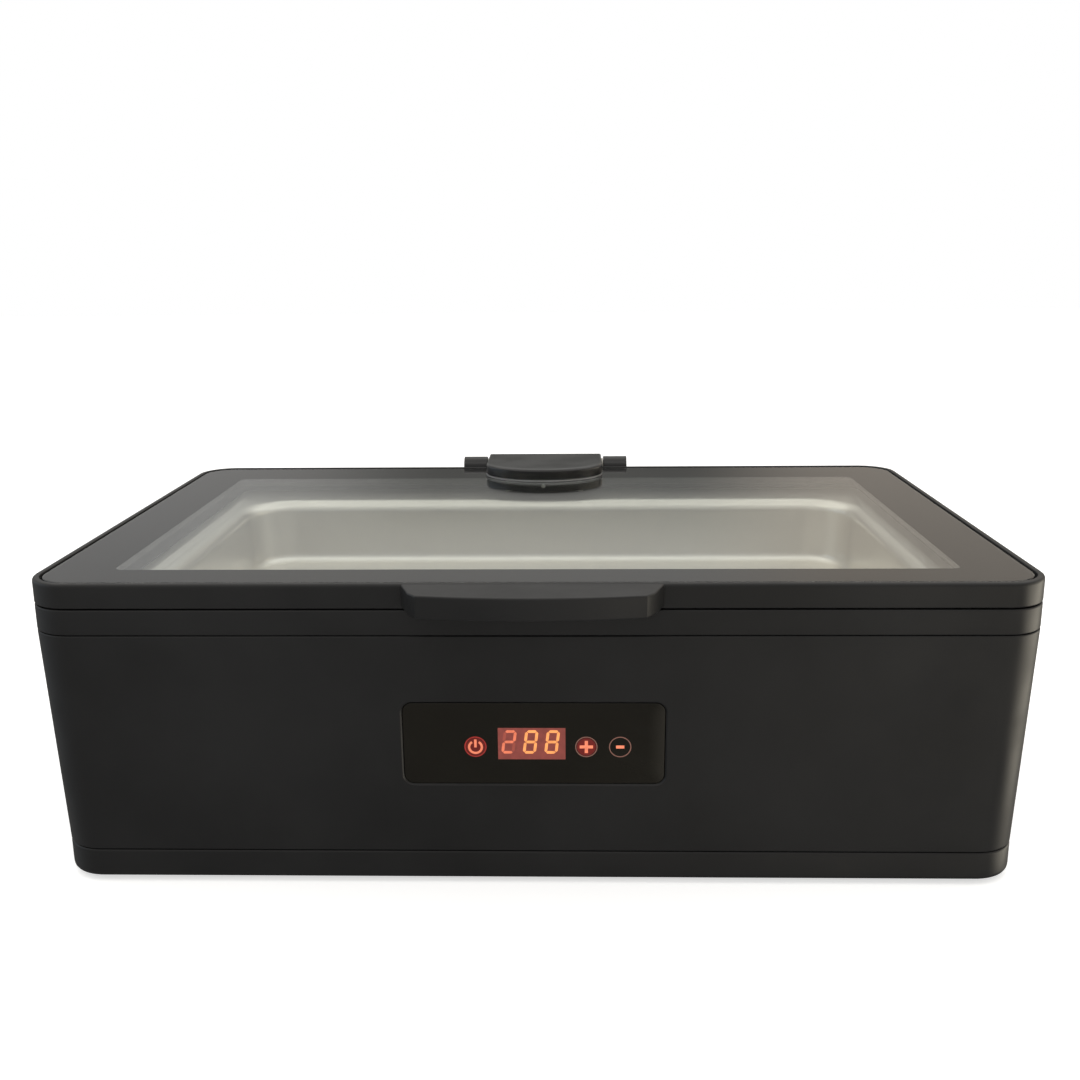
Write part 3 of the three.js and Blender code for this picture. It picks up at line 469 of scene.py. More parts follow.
VENT_X = 195 * MM
VENT_PITCH = 9 * MM
VENT_HALF_W, VENT_HALF_L = 1.8 * MM, 28 * MM
POST_R, COUNTERBORE_R, COUNTERBORE_DEPTH = 6 * MM, 4.3 * MM, 5 * MM


def base_tray():
    bottom = tray_low[2]
    floor = bottom + 3 * MM
    top = tray_high[2]
    flat = 14 * MM
    lip_out, lip_in = 3.3 * MM, 5.3 * MM
    piece = skin("base_tray_moulding", eased([
        (case_ring(flat, bottom), 0), (case_ring(0, bottom), 3.4 * MM),
        (case_ring(0, BASE_TOP), 1.6 * MM), (case_ring(lip_out, BASE_TOP), 0.3 * MM),
        (case_ring(lip_out, top), 0.4 * MM), (case_ring(lip_in, top), 0.4 * MM),
        (case_ring(lip_in, floor), 1 * MM), (case_ring(flat, floor), 0),
    ], False))
    for centre in (-VENT_X, VENT_X):
        for i in range(4):
            x = centre + (i - 1.5) * VENT_PITCH
            cutter = slot_cutter(x, VENT_HALF_W, VENT_HALF_L, bottom - MM, floor + MM)
            piece = combine(piece, cutter, "DIFFERENCE")
    for spot in CORNERS:
        x, y = middle("base_screw_" + spot)[:2]
        post = well(POST_R, floor - MM, BASE_TOP - MM, x, y)
        piece = combine(piece, post, "UNION")
        sink = well(COUNTERBORE_R, bottom - MM, bottom + COUNTERBORE_DEPTH, x, y)
        piece = combine(piece, sink, "DIFFERENCE")
    return finish_piece(piece, "casing", "casing_black", casing_black, "base_tray")


def foot(spot):
    x, y = middle("foot_" + spot)[:2]
    r = 11.8 * MM
    piece = turned("foot_pad_" + spot, [
        (0.4 * MM, 0.5 * MM), (7.6 * MM, 0.5 * MM), (8.1 * MM, 0.1 * MM), (8.6 * MM, 0),
        (10.4 * MM, 0), (11.3 * MM, 0.35 * MM), (r, 1.1 * MM), (r, 2.5 * MM), (r - 0.3 * MM, 2.7 * MM),
        (3.2 * MM, 2.7 * MM), (3.2 * MM, 6.3 * MM), (4.5 * MM, 6.3 * MM), (3 * MM, 8.6 * MM),
    ])
    settle(piece, Matrix.Translation((x, y, 0)))
    return finish_piece(piece, "casing", "black_rubber", rubber_black, "foot_" + spot)


PANEL_X = 0.0
PANEL_Z = (panel_low[2] + panel_high[2]) / 2
PANEL_W = 145.6 * MM
PANEL_H = 48.7 * MM
PANEL_R = 5.5 * MM
PANEL_FACE = 0.6 * MM
INLET_X, _, INLET_Z = middle("inlet_socket")
INLET_W, INLET_H, INLET_R = 30 * MM, 23.4 * MM, 3 * MM


def body_shell():
    piece = skin("body_shell_moulding", eased([
        (case_ring(0, SHELL_LOW), 0.8 * MM), (case_ring(0, SHELL_TOP), 0.9 * MM),
        (case_ring(WALL, SHELL_TOP), 0.3 * MM), (case_ring(WALL, SHELL_LOW), 0.3 * MM),
    ], True), closed=True)
    window = skin("cutter", [
        wall_ring(PANEL_W + grow, PANEL_H + grow, PANEL_R + grow / 2, y)
        for grow, y in ((4.2 * MM, -0.9 * MM), (0.6 * MM, 0.9 * MM), (0.6 * MM, 6 * MM))
    ])
    piece = combine(piece, settle(window, on_wall(-1, PANEL_X, PANEL_Z)), "DIFFERENCE")
    inlet = skin("cutter", [wall_ring(INLET_W, INLET_H, INLET_R, y) for y in (-6 * MM, MM)])
    piece = combine(piece, settle(inlet, on_wall(1, INLET_X, INLET_Z)), "DIFFERENCE")
    return finish_piece(piece, "casing", "casing_black", casing_black, "body_shell")


PAN_GAP = 0.6 * MM
SKIRT_OUT, SKIRT_IN = 3.4 * MM, 6.5 * MM


def top_ring():
    piece = skin("top_ring_moulding", eased([
        (case_ring(0, RING_LOW), 0.8 * MM), (case_ring(0, RING_TOP), 1.1 * MM),
        (plan_ring(PAN_EDGE, PAN_GAP, RING_TOP), 0.4 * MM),
        (plan_ring(PAN_EDGE, PAN_GAP, SHELF_TOP), 0.3 * MM),
        (plan_ring(PAN_WALL, SHELF_REACH, SHELF_TOP), 0.3 * MM),
        (plan_ring(PAN_WALL, SHELF_REACH, SHELF_LOW), 0.3 * MM),
        (case_ring(SKIRT_IN, SHELF_LOW), 0.3 * MM), (case_ring(SKIRT_IN, ring_low[2]), 0.3 * MM),
        (case_ring(SKIRT_OUT, ring_low[2]), 0.3 * MM), (case_ring(SKIRT_OUT, RING_LOW), 0.2 * MM),
    ], True), closed=True)
    return finish_piece(piece, "casing", "casing_black", casing_black, "top_ring")


# ---- stone pan --------------------------------------------------------------
def pan_bend(inside, steps=10):
    """Bend from the pan's wall into its flange, drawn a sheet's thickness inside its radius."""
    rings = []
    for i in range(steps + 1):
        a = i / steps * pi / 2
        out = PAN_BEND - (PAN_BEND - inside) * cos(a)
        up = PAN_MOUTH - PAN_BEND + (PAN_BEND - inside) * sin(a)
        rings.append((plan_ring(PAN_WALL, out, up), 0))
    return rings


def stone_pan():
    gauge = 1.2 * MM
    rim = pan_high[2]
    lean = -2.5 * MM
    flat = -30 * MM
    hem = -7 * MM
    under = [
        (plan_ring(PAN_WALL, flat, PAN_FLOOR - gauge), 0),
        (plan_ring(PAN_WALL, lean + gauge, PAN_FLOOR - gauge), 9.2 * MM),
        *pan_bend(gauge),
        (plan_ring(PAN_EDGE, hem, rim - gauge), 2 * MM),
        (plan_ring(PAN_EDGE, 0, rim - gauge), 0.4 * MM),
    ]
    over = [
        (plan_ring(PAN_EDGE, 0, rim), 0.5 * MM), (plan_ring(PAN_EDGE, hem, rim), 2 * MM),
        *reversed(pan_bend(0)), (plan_ring(PAN_WALL, lean, PAN_FLOOR), 8 * MM),
        (plan_ring(PAN_WALL, flat, PAN_FLOOR), 0),
    ]
    piece = skin("stone_pan_pressing", eased(under + over, False, 7), angle=40)
    return finish_piece(piece, "casing", "satin_stainless", stainless, "stone_pan")


# ---- lid --------------------------------------------------------------------
FRAME_WALL = 3 * MM
FRAME_UNDER = 172.7 * MM
FRAME_ROUND = 2.4 * MM
RIM_TOP, RIM_FOOT = 3.9 * MM, 4.4 * MM  # insets of the rim round the glass
LIP_LOW = 170.8 * MM
LIP_REACH = 2.4 * MM


def lid_frame():
    piece = skin("lid_frame_moulding", eased([
        (case_ring(0, LID_LOW), 0.8 * MM), (case_ring(0, LID_TOP), FRAME_ROUND),
        (case_ring(RIM_TOP, LID_TOP), 0.7 * MM), (case_ring(RIM_FOOT, LEDGE), 0.3 * MM),
        (plan_ring(OPENING, 0, LEDGE), 0.3 * MM), (plan_ring(OPENING, 0, LIP_LOW), 0.4 * MM),
        (plan_ring(OPENING, LIP_REACH, LIP_LOW), 0.4 * MM),
        (plan_ring(OPENING, LIP_REACH, FRAME_UNDER), 0.4 * MM),
        (case_ring(FRAME_WALL, FRAME_UNDER), 0.6 * MM), (case_ring(FRAME_WALL, LID_LOW), 0.3 * MM),
    ], True), closed=True)
    return finish_piece(piece, "lid", "lid_black", lid_black, "lid_frame")


GLASS_INSET = 5.3 * MM
GLASS_FLAT = 1.6 * MM  # past this the pane is dead flat


def lid_glass():
    low, high = glass_low[2], glass_high[2]
    flat = GLASS_INSET + GLASS_FLAT
    inner = GLASS_INSET + 20 * MM
    piece = skin("lid_glass_pane", eased([
        (case_ring(inner, low), 0), (case_ring(flat, low), 0),
        (case_ring(GLASS_INSET, low), 0.5 * MM), (case_ring(GLASS_INSET, high), 0.5 * MM),
        (case_ring(flat, high), 0), (case_ring(inner, high), 0),
    ], False))
    return finish_piece(piece, "lid", "lid_glass", glass_clear, "lid_glass")


def glass_print():
    """Black border fired into the back of the glass, so the pane has no lower shine over it."""
    top = glass_low[2] + 0.2 * MM
    low = glass_low[2] - 0.1 * MM
    edge = GLASS_INSET + 0.6 * MM
    piece = skin("glass_border_print", [
        case_ring(edge, low), case_ring(edge, top),
        plan_ring(WINDOW, 0, top), plan_ring(WINDOW, 0, low),
    ], closed=True)
    return finish_piece(piece, "lid", "glass_print", print_black)


HANDLE_ROOT = 70.7 * MM
HANDLE_TIP = 65 * MM
HANDLE_BACK = handle_high[1]
HANDLE_END = 20.7 * MM
HANDLE_MID = HANDLE_BACK - handle_low[1]


def handle_ring(inset, z, steps=28):
    """Plan of the handle: straight back, splayed ends with rounded corners, bowed front."""
    corner = 4.5 * MM
    ring = [(-HANDLE_ROOT + inset, HANDLE_BACK, z)]
    for i in range(steps + 1):
        u = 2 * i / steps - 1
        bow = HANDLE_END + (HANDLE_MID - HANDLE_END) * (1 - u * u)
        x = u * (HANDLE_TIP - inset)
        fall = max(abs(x) - (HANDLE_TIP - inset - corner), 0) / corner
        ring.append((x, HANDLE_BACK - bow + inset + corner * (1 - sqrt(max(1 - fall * fall, 0))), z))
    ring.append((HANDLE_ROOT - inset, HANDLE_BACK, z))
    return np.array(ring)


def lid_handle():
    low, high = handle_low[2], handle_high[2]
    piece = skin("lid_handle_moulding", eased([
        (handle_ring(9 * MM, low + 2 * MM), 0), (handle_ring(7.5 * MM, low + 2 * MM), 0.5 * MM),
        (handle_ring(6 * MM, low), 0.7 * MM), (handle_ring(0, low), 1.3 * MM),
        (handle_ring(0, high), 1.3 * MM), (handle_ring(9 * MM, high), 0),
    ], False))
    return finish_piece(piece, "lid", "lid_black", lid_black, "lid_handle")


# ---- hinge ------------------------------------------------------------------
CAP_X = cap_high[0]
CAP_FRONT = cap_low[1]
CAP_NOSE = 33 * MM
ROLL_R = 11 * MM
KNUCKLE_R = 8.5 * MM
ROLL_Y = PIN_Y + KNUCKLE_R - ROLL_R
CAP_TOP = cap_high[2]
PAD_TOP = span("hinge_pad")[1][2]
CAP_LOW = PAD_TOP + 0.3 * MM


def d_ring(inset, back, z, steps=40):
    """D-shaped plan: straight sides at the back, half an ellipse at the front."""
    side = CAP_X - inset
    ring = [(side, back, z), (-side, back, z)]
    for i in range(steps + 1):
        a = i / steps * pi
        y = min(CAP_FRONT + CAP_NOSE - (CAP_NOSE - inset) * sin(a), back - 0.02 * MM)
        ring.append((-side * cos(a), y, z))
    return np.array(ring)


def roll_back(z):
    """Where the cap's rounded back lies at height z."""
    rise = max(z - (CAP_TOP - ROLL_R), 0)
    return ROLL_Y + sqrt(max(ROLL_R ** 2 - rise ** 2, 0))


def bar_x(name, section, x0, x1, ease=0.0):
    """Prism along X with its section in the YZ plane; ease softens its two ends."""
    middle = section.mean(axis=0)
    size = np.abs(section - middle).max()
    rings = []
    for x, shrink in ((x0, ease), (x0 + ease * 0.3, ease * 0.3), (x0 + ease, 0),
                      (x1 - ease, 0), (x1 - ease * 0.3, ease * 0.3), (x1, ease)):
        if ease == 0 and x in (x0, x1) and rings and np.allclose(rings[-1][0][0], x):
            continue
        scaled = middle + (section - middle) * (1 - shrink / size)
        rings.append(np.column_stack([np.full(len(scaled), x), scaled]))
    return skin(name, rings)


def arc(cy, cz, r, start, stop, steps):
    angles = np.radians(np.linspace(start, stop, steps + 1))
    return np.column_stack([cy + r * np.cos(angles), cz + r * np.sin(angles)])


def pin_circle(r):
    """Round section about the hinge line."""
    return arc(PIN_Y, PIN_Z, r, 0, 352.5, 47)


def hinge_cap():
    levels = [(1.2, 0.0), (0.3, 0.25), (0.0, 0.9)]  # inset and rise, in mm
    height = (CAP_TOP - CAP_LOW) / MM
    edge = 2.2
    for k in range(9):
        a = k / 8 * pi / 2
        levels.append((edge * (1 - cos(a)), height - edge + edge * sin(a)))
    rings = []
    for inset, rise in levels:
        z = CAP_LOW + rise * MM
        rings.append(d_ring(inset * MM, roll_back(z) - 0.01 * MM, z))
    rings.append(d_ring(8 * MM, ROLL_Y - 6 * MM, CAP_TOP))
    piece = skin("hinge_cap_cover", rings)
    knuckle = bar_x("knuckle", pin_circle(KNUCKLE_R), -CAP_X, CAP_X, 0.5 * MM)
    piece = combine(piece, knuckle, "UNION")
    return finish_piece(piece, "lid", "hinge_gloss", hinge_black, "hinge_cap")


def hinge_pads():
    """Silicone pads above and below the glass, flush with the cap, and the clamp plate."""
    silicone = CAD_LOOKS["pad_silicone"]
    flat = 6 * MM
    shy = 0.1 * MM
    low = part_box("hinge_pad")[0][2]
    back = 166 * MM
    upper = skin("hinge_pad_upper", eased([
        (d_ring(flat, 165 * MM, low), 0), (d_ring(shy, back, low), 0.2 * MM),
        (d_ring(shy, back, PAD_TOP), 0.2 * MM), (d_ring(flat, 165 * MM, PAD_TOP), 0),
    ], False))
    finish_piece(upper, "lid", "pad_silicone", silicone, "hinge_pad")
    back = clamp_high[1]
    top = clamp_high[2]
    split = top - 1.3 * MM
    lower = skin("hinge_pad_lower", eased([
        (d_ring(flat, back - MM, split), 0), (d_ring(shy, back, split), 0.2 * MM),
        (d_ring(shy, back, top), 0.2 * MM), (d_ring(flat, back - MM, top), 0),
    ], False))
    finish_piece(lower, "lid", "pad_silicone", silicone)
    stud = turned("clamp_stud", [
        (1.7 * MM * cos(a), 1.2 * MM * sin(a)) for a in np.linspace(0, 1.45, 8)
    ], 24)
    settle(stud, Matrix.Translation((0, CAP_FRONT, split - 0.6 * MM)) @ along_y(-1))
    finish_piece(stud, "lid", "zinc_screw", zinc)
    plate = skin("hinge_clamp_plate", eased([
        (d_ring(flat, back - MM, clamp_low[2]), 0), (d_ring(0, back, clamp_low[2]), 0.6 * MM),
        (d_ring(0, back, split), 0.4 * MM), (d_ring(flat, back - MM, split), 0),
    ], False))
    finish_piece(plate, "lid", "clamp_black", clamp_black, "hinge_clamp")


def hinge_bracket():
    front = bracket_low[1]
    thick = 4 * MM
    low = bracket_low[2]
    top = low + 32 * MM
    ear_low = low + 17 * MM
    x = bracket_high[0]
    plate_rings = []
    for y, inset in ((front, 0), (front + thick - 0.8 * MM, 0), (front + thick - 0.2 * MM, 0.25 * MM),
                     (front + thick, 0.8 * MM)):
        ring = rounded(-x + inset, x - inset, low + inset, top - inset, 3 * MM - inset, y, 8)
        plate_rings.append(ring[:, [0, 2, 1]])
    piece = skin("hinge_bracket_casting", plate_rings)
    ear = np.concatenate([
        [[front, ear_low], [front + thick, ear_low]],
        arc(PIN_Y, PIN_Z, 9 * MM, -15, 180, 26), [[front, top]],
    ])
    for side in (-1, 1):
        inner, outer = 48 * MM, x
        x0, x1 = sorted((side * inner, side * outer))
        piece = combine(piece, bar_x("ear", ear, x0, x1, 0.9 * MM), "UNION")
    return finish_piece(piece, "casing", "hinge_gloss", hinge_black, "hinge_bracket")


def hinge_pin():
    half = pin_high[0]
    piece = bar_x("hinge_pin_turned", pin_circle(3 * MM), -half, half, 0.5 * MM)
    finish_piece(piece, "casing", "pin_steel", CAD_LOOKS["pin_steel"], "hinge_pin")
    nylon = CAD_LOOKS["washer_nylon"]
    for label in ("l", "r"):
        low, high = span("hinge_washer_" + label)
        x0, x1 = low[0], high[0]
        washer = bar_x("hinge_washer_disc_" + label, pin_circle(7.4 * MM), x0, x1, 0.2 * MM)
        hole = bar_x("cutter", pin_circle(3.4 * MM), x0 - MM, x1 + MM)
        washer = combine(washer, hole, "DIFFERENCE")
        finish_piece(washer, "casing", "washer_nylon", nylon, "hinge_washer_" + label)


# ---- screws -----------------------------------------------------------------
def screw(node, place, head_r, head_h, shank_r, length, body):
    """Pan-head cross-recess screw: its head stands on +Z and its shank runs down from zero."""
    dome = [(head_r * cos(a), head_h * 0.35 + head_h * 0.65 * sin(a)) for a in np.linspace(0, 1.35, 7)]
    piece = turned(node + "_turned", [
        (shank_r * 0.7, -length), (shank_r, -length + shank_r * 0.6), (shank_r, 0), (head_r * 0.98, 0),
    ] + dome, 32)
    for turn in (0, pi / 2):
        reach, width = head_r * 0.6, head_r * 0.13
        cutter = skin("cutter", [
            rounded(-reach * k, reach * k, -width, width, width * 0.5, z, 3)
            for k, z in ((0.35, head_h * 0.35), (1, head_h * 1.2))
        ])
        piece = combine(piece, settle(cutter, Matrix.Rotation(turn, 4, "Z")), "DIFFERENCE")
    settle(piece, place)
    return finish_piece(piece, body, "zinc_screw", zinc, node)


def all_screws():
    for label in ("l", "r"):
        node = "bracket_screw_" + label
        low, high = span(node)
        x, _, z = middle(node)
        seat = bracket_low[1] + 4.3 * MM
        place = Matrix.Translation((x, seat, z)) @ along_y(1)
        screw(node, place, 3.4 * MM, high[1] - seat, 1.4 * MM, seat - low[1], "casing")
        node = "inlet_screw_" + label
        flange = Matrix.Translation((0, 3.1 * MM, 0))
        place = on_wall(1, middle(node)[0], INLET_Z) @ flange @ along_y(1)
        screw(node, place, 2.8 * MM, 1.8 * MM, 1.4 * MM, 11 * MM, "casing")
    upside_down = Matrix.Rotation(pi, 4, "X")
    for spot in CORNERS:
        node = "base_screw_" + spot
        low, high = span(node)
        x, y, _ = middle(node)
        head = 2.4 * MM
        place = Matrix.Translation((x, y, low[2] + head)) @ upside_down
        screw(node, place, 3.4 * MM, head, 1.8 * MM, high[2] - low[2] - head, "casing")
    for label in ("l", "c", "r"):
        node = "clamp_screw_" + label
        low, high = span(node)
        x, y, _ = middle(node)
        seat = clamp_low[2] - 0.3 * MM
        place = Matrix.Translation((x, y, seat)) @ upside_down
        screw(node, place, 2.9 * MM, seat - low[2], 1.5 * MM, high[2] - seat, "lid")


# ---- control panel ----------------------------------------------------------
def control_panel():
    back = 5.2 * MM
    step = 3.2 * MM
    flat = (PANEL_W - 20 * MM, PANEL_H - 20 * MM, 2 * MM)
    face = (PANEL_W, PANEL_H, PANEL_R)
    flange = (PANEL_W + 6 * MM, PANEL_H + 6 * MM, PANEL_R + 3 * MM)
    rings = eased([
        (wall_ring(*flat, PANEL_FACE), 0), (wall_ring(*face, PANEL_FACE), 0.5 * MM),
        (wall_ring(*face, step), 0.2 * MM), (wall_ring(*flange, step), 0.2 * MM),
        (wall_ring(*flange, back), 0.2 * MM), (wall_ring(*flat, back), 0),
    ], False)
    piece = skin("touch_panel_face", rings[::-1])
    settle(piece, on_wall(-1, PANEL_X, PANEL_Z))
    return finish_piece(piece, "casing", "panel_gloss", panel_black, "control_panel")


def decal(name, outlines, lift, look, slot):
    """Thin printed or lit shapes on the panel: closed outlines in its XZ plane."""
    verts = []
    faces = []
    for outline in outlines:
        start = len(verts)
        n = len(outline)
        for y in (PANEL_FACE - 0.005 * MM, PANEL_FACE - lift):
            verts.extend((x, y, z) for x, z in outline)
        faces.append(tuple(range(start + n - 1, start - 1, -1)))
        faces.append(tuple(range(start + n, start + 2 * n)))
        for j in range(n):
            k = (j + 1) % n
            faces.append((start + j, start + k, start + n + k, start + n + j))
    piece = build(name, verts, faces)
    settle(piece, on_wall(-1, PANEL_X, PANEL_Z))
    return finish_piece(piece, "casing", slot, look)


def annulus(x, z, outer, inner, start=0, stop=360, steps=40):
    """Ring or arc as short closed outlines, one per step."""
    outlines = []
    for i in range(steps):
        a = radians(start + (stop - start) * i / steps)
        b = radians(start + (stop - start) * (i + 1) / steps)
        outlines.append([
            (x + inner * cos(a), z + inner * sin(a)), (x + outer * cos(a), z + outer * sin(a)),
            (x + outer * cos(b), z + outer * sin(b)), (x + inner * cos(b), z + inner * sin(b)),
        ])
    return outlines


def disc(x, z, r, steps=40):
    turns = [2 * pi * i / steps for i in range(steps)]
    return [[(x + r * cos(a), z + r * sin(a)) for a in turns]]


def bar(x, z, half_w, half_h):
    return [[(x + sx * half_w, z + sz * half_h) for sx, sz in ((-1, -1), (1, -1), (1, 1), (-1, 1))]]


# Each segment of a figure: its two ends in half widths and half heights of the figure.
SEGMENTS = {
    "a": ((-1, 1), (1, 1)), "b": ((1, 1), (1, 0)), "c": ((1, 0), (1, -1)), "d": ((-1, -1), (1, -1)),
    "e": ((-1, 0), (-1, -1)), "f": ((-1, 1), (-1, 0)), "g": ((-1, 0), (1, 0)),
}


def figure(x, z, names, half_w=2.9 * MM, half_h=6.3 * MM, stroke=0.8 * MM, slant=0.12):
    outlines = []
    for name in names:
        (x0, z0), (x1, z1) = SEGMENTS[name]
        start = Vector((x0 * half_w, z0 * half_h))
        end = Vector((x1 * half_w, z1 * half_h))
        along = (end - start).normalized()
        across = Vector((-along.y, along.x)) * stroke
        gap = along * 0.18 * MM
        tip = along * stroke
        points = [start + gap, start + gap + tip - across, end - gap - tip - across, end - gap,
                  end - gap - tip + across, start + gap + tip + across]
        outlines.append([(x + p.x + slant * p.y, z + p.y) for p in points])
    return outlines


DISPLAY_X = -1.2 * MM
DISPLAY_Z = 0.0
# Where each figure stands, its lit segments and those that show without being lit, which are drawn
# with a faint painted glow.
FIGURES = [(-12.6 * MM, "abged", "cf"), (-0.6 * MM, "abcdefg", ""), (11.4 * MM, "abcdefg", "")]
FIGURE_Z = 1.06 * MM
ICON_Z = -1.9 * MM
ICON_R = 6.2 * MM
POWER_X, PLUS_X, MINUS_X = -32.6 * MM, 29.2 * MM, 48 * MM
# How far a decal stands off the panel's face: the ground, what is printed on it, what is lit.
GROUND, PRINTED, LIT = 0.02 * MM, 0.04 * MM, 0.05 * MM


def panel_graphics():
    def indicator(name, outlines, lift, look):
        decal(name, outlines, lift, look, "indicator_red")

    face = bar(DISPLAY_X, DISPLAY_Z, 18.8 * MM, 9.5 * MM)
    decal("display_window", face, GROUND, display_face, "display_red")
    dim, unlit, bright = [], [], []
    for i, (x, on, off) in enumerate(FIGURES):
        target = dim if i == 0 else bright
        target += figure(DISPLAY_X + x, FIGURE_Z, on)
        if off:
            unlit += figure(DISPLAY_X + x, FIGURE_Z, off)
    indicator("display_segments_bright", bright, LIT, glow_bright)
    indicator("display_segments_dim", dim, LIT, glow_dim)
    # the unlit segments glow faintly: a painted glow, though they are not lit
    indicator("unlit_segments_painted_glow", unlit, PRINTED, painted_glow_unlit)
    halo_r = ICON_R - 0.9 * MM
    halo = disc(POWER_X, ICON_Z, halo_r) + disc(PLUS_X, ICON_Z, halo_r)
    indicator("touch_symbol_halos", halo, GROUND, glow_halo)
    rings = []
    for x in (PLUS_X, MINUS_X):
        rings += annulus(x, ICON_Z, ICON_R, ICON_R - 0.55 * MM)
    indicator("touch_symbol_rings", rings, PRINTED, glow_ring)
    ring = annulus(POWER_X, ICON_Z, ICON_R, ICON_R - 0.7 * MM)
    indicator("power_symbol_ring", ring, PRINTED, glow_red)
    symbols = annulus(POWER_X, ICON_Z - 0.2 * MM, 4.2 * MM, 2.9 * MM, 122, 418, 30)
    symbols += bar(POWER_X, ICON_Z + 2 * MM, 0.7 * MM, 2.4 * MM)
    stroke = 0.9 * MM
    symbols += bar(PLUS_X, ICON_Z, 3.7 * MM, stroke)
    symbols += bar(PLUS_X, ICON_Z + 2.3 * MM, stroke, 1.4 * MM)
    symbols += bar(PLUS_X, ICON_Z - 2.3 * MM, stroke, 1.4 * MM)
    symbols += bar(MINUS_X, ICON_Z, 2.3 * MM, stroke)
    indicator("touch_symbols", symbols, LIT, glow_symbol)


display_face = lit("display_face", (0.10, 0.03, 0.025), (0.9, 0.16, 0.12), 0.22, 0.3)
glow_bright = lit("glow_bright", (0.3, 0.05, 0.02), (1.0, 0.42, 0.12), 1.0)
glow_dim = lit("glow_dim", (0.3, 0.05, 0.02), (1.0, 0.27, 0.14), 0.75)
# painted glow for the unlit segments, which give no light of their own
painted_glow_unlit = lit("painted_glow_unlit", (0.1, 0.03, 0.02), (1.0, 0.18, 0.12), 0.33)
glow_red = lit("glow_red", (0.1, 0.01, 0.01), (1.0, 0.05, 0.03), 0.3)
glow_ring = lit("glow_ring", (0.1, 0.05, 0.04), (1.0, 0.42, 0.30), 0.16)
glow_halo = lit("glow_halo", (0.05, 0.005, 0.004), (1.0, 0.03, 0.02), 0.12)
glow_symbol = lit("glow_symbol", (0.3, 0.05, 0.02), (1.0, 0.30, 0.16), 0.85)

base_tray()
for spot in CORNERS:
    foot(spot)
body_shell()
top_ring()
stone_pan()
lid_frame()
lid_glass()
glass_print()
lid_handle()
hinge_cap()
hinge_pads()
hinge_bracket()
hinge_pin()
all_screws()
control_panel()
panel_graphics()


# ---- stage, light and camera ------------------------------------------------
def stage():
    """White table, bright enough to run into the white behind it."""
    reach = 6
    verts = [(-reach, -reach, 0), (reach, -reach, 0), (reach, reach, 0), (-reach, reach, 0)]
    floor = build("floor", verts, [(0, 1, 2, 3)])
    look = Look("floor_paper", (0.8, 0.8, 0.8), 0.9, Specular_IOR_Level=0.1, Emission_Strength=0.6)
    look.shader.inputs["Emission Color"].default_value = (1, 1, 1, 1)
    look.tint(look.ramp(look.noise(0.7, 2), 0, 1), (0.8, 0.8, 0.8), (0.78, 0.78, 0.78))
    floor.data.materials.append(look.material)
    floor.visible_glossy = False


# Brightness of the room by the height component of the direction looked in, lowest first:
# brightest high on the walls, dimmer again straight overhead.
ROOM_LEVELS = ((-1, 0.16), (-0.06, 0.22), (0.72, 0.9), (0.88, 0.5), (1, 0.2))
DUSK = (0.17, 0.17, 0.16)
COOL_WINDOW = (1.8, 2.1, 2.4)
WARM_WINDOW = (3.8, 3.5, 2.9)
COOL_SIDE = (0.5, 0.5, 0.5)
WARM_SIDE = (0.58, 0.5, 0.41)
WARM_FRONT = (1.3, 1.2, 1.02)


def graded_linear(tree, z):
    """Height component from -1..1 to 0..1."""
    node = tree.nodes.new("ShaderNodeMapRange")
    node.inputs["From Min"].default_value = -1
    tree.links.new(z, node.inputs["Value"])
    return node.outputs["Result"]


def graded(tree, value, low, high, start, stop):
    """Smooth step of a value between start and stop."""
    node = tree.nodes.new("ShaderNodeMapRange")
    node.interpolation_type = "SMOOTHSTEP"
    for socket, number in (("From Min", start), ("From Max", stop), ("To Min", low), ("To Max", high)):
        node.inputs[socket].default_value = number
    tree.links.new(value, node.inputs["Value"])
    return node.outputs["Result"]


def product(tree, *values):
    result = values[0]
    for value in values[1:]:
        node = tree.nodes.new("ShaderNodeMath")
        node.operation = "MULTIPLY"
        tree.links.new(result, node.inputs[0])
        tree.links.new(value, node.inputs[1])
        result = node.outputs["Value"]
    return result


def blend(tree, factor, base, colour):
    """Mixes a fixed colour over what is already there."""
    node = tree.nodes.new("ShaderNodeMix")
    node.data_type = "RGBA"
    tree.links.new(factor, node.inputs["Factor"])
    tree.links.new(base, node.inputs["A"])
    node.inputs["B"].default_value = (*colour, 1)
    return node.outputs["Result"]


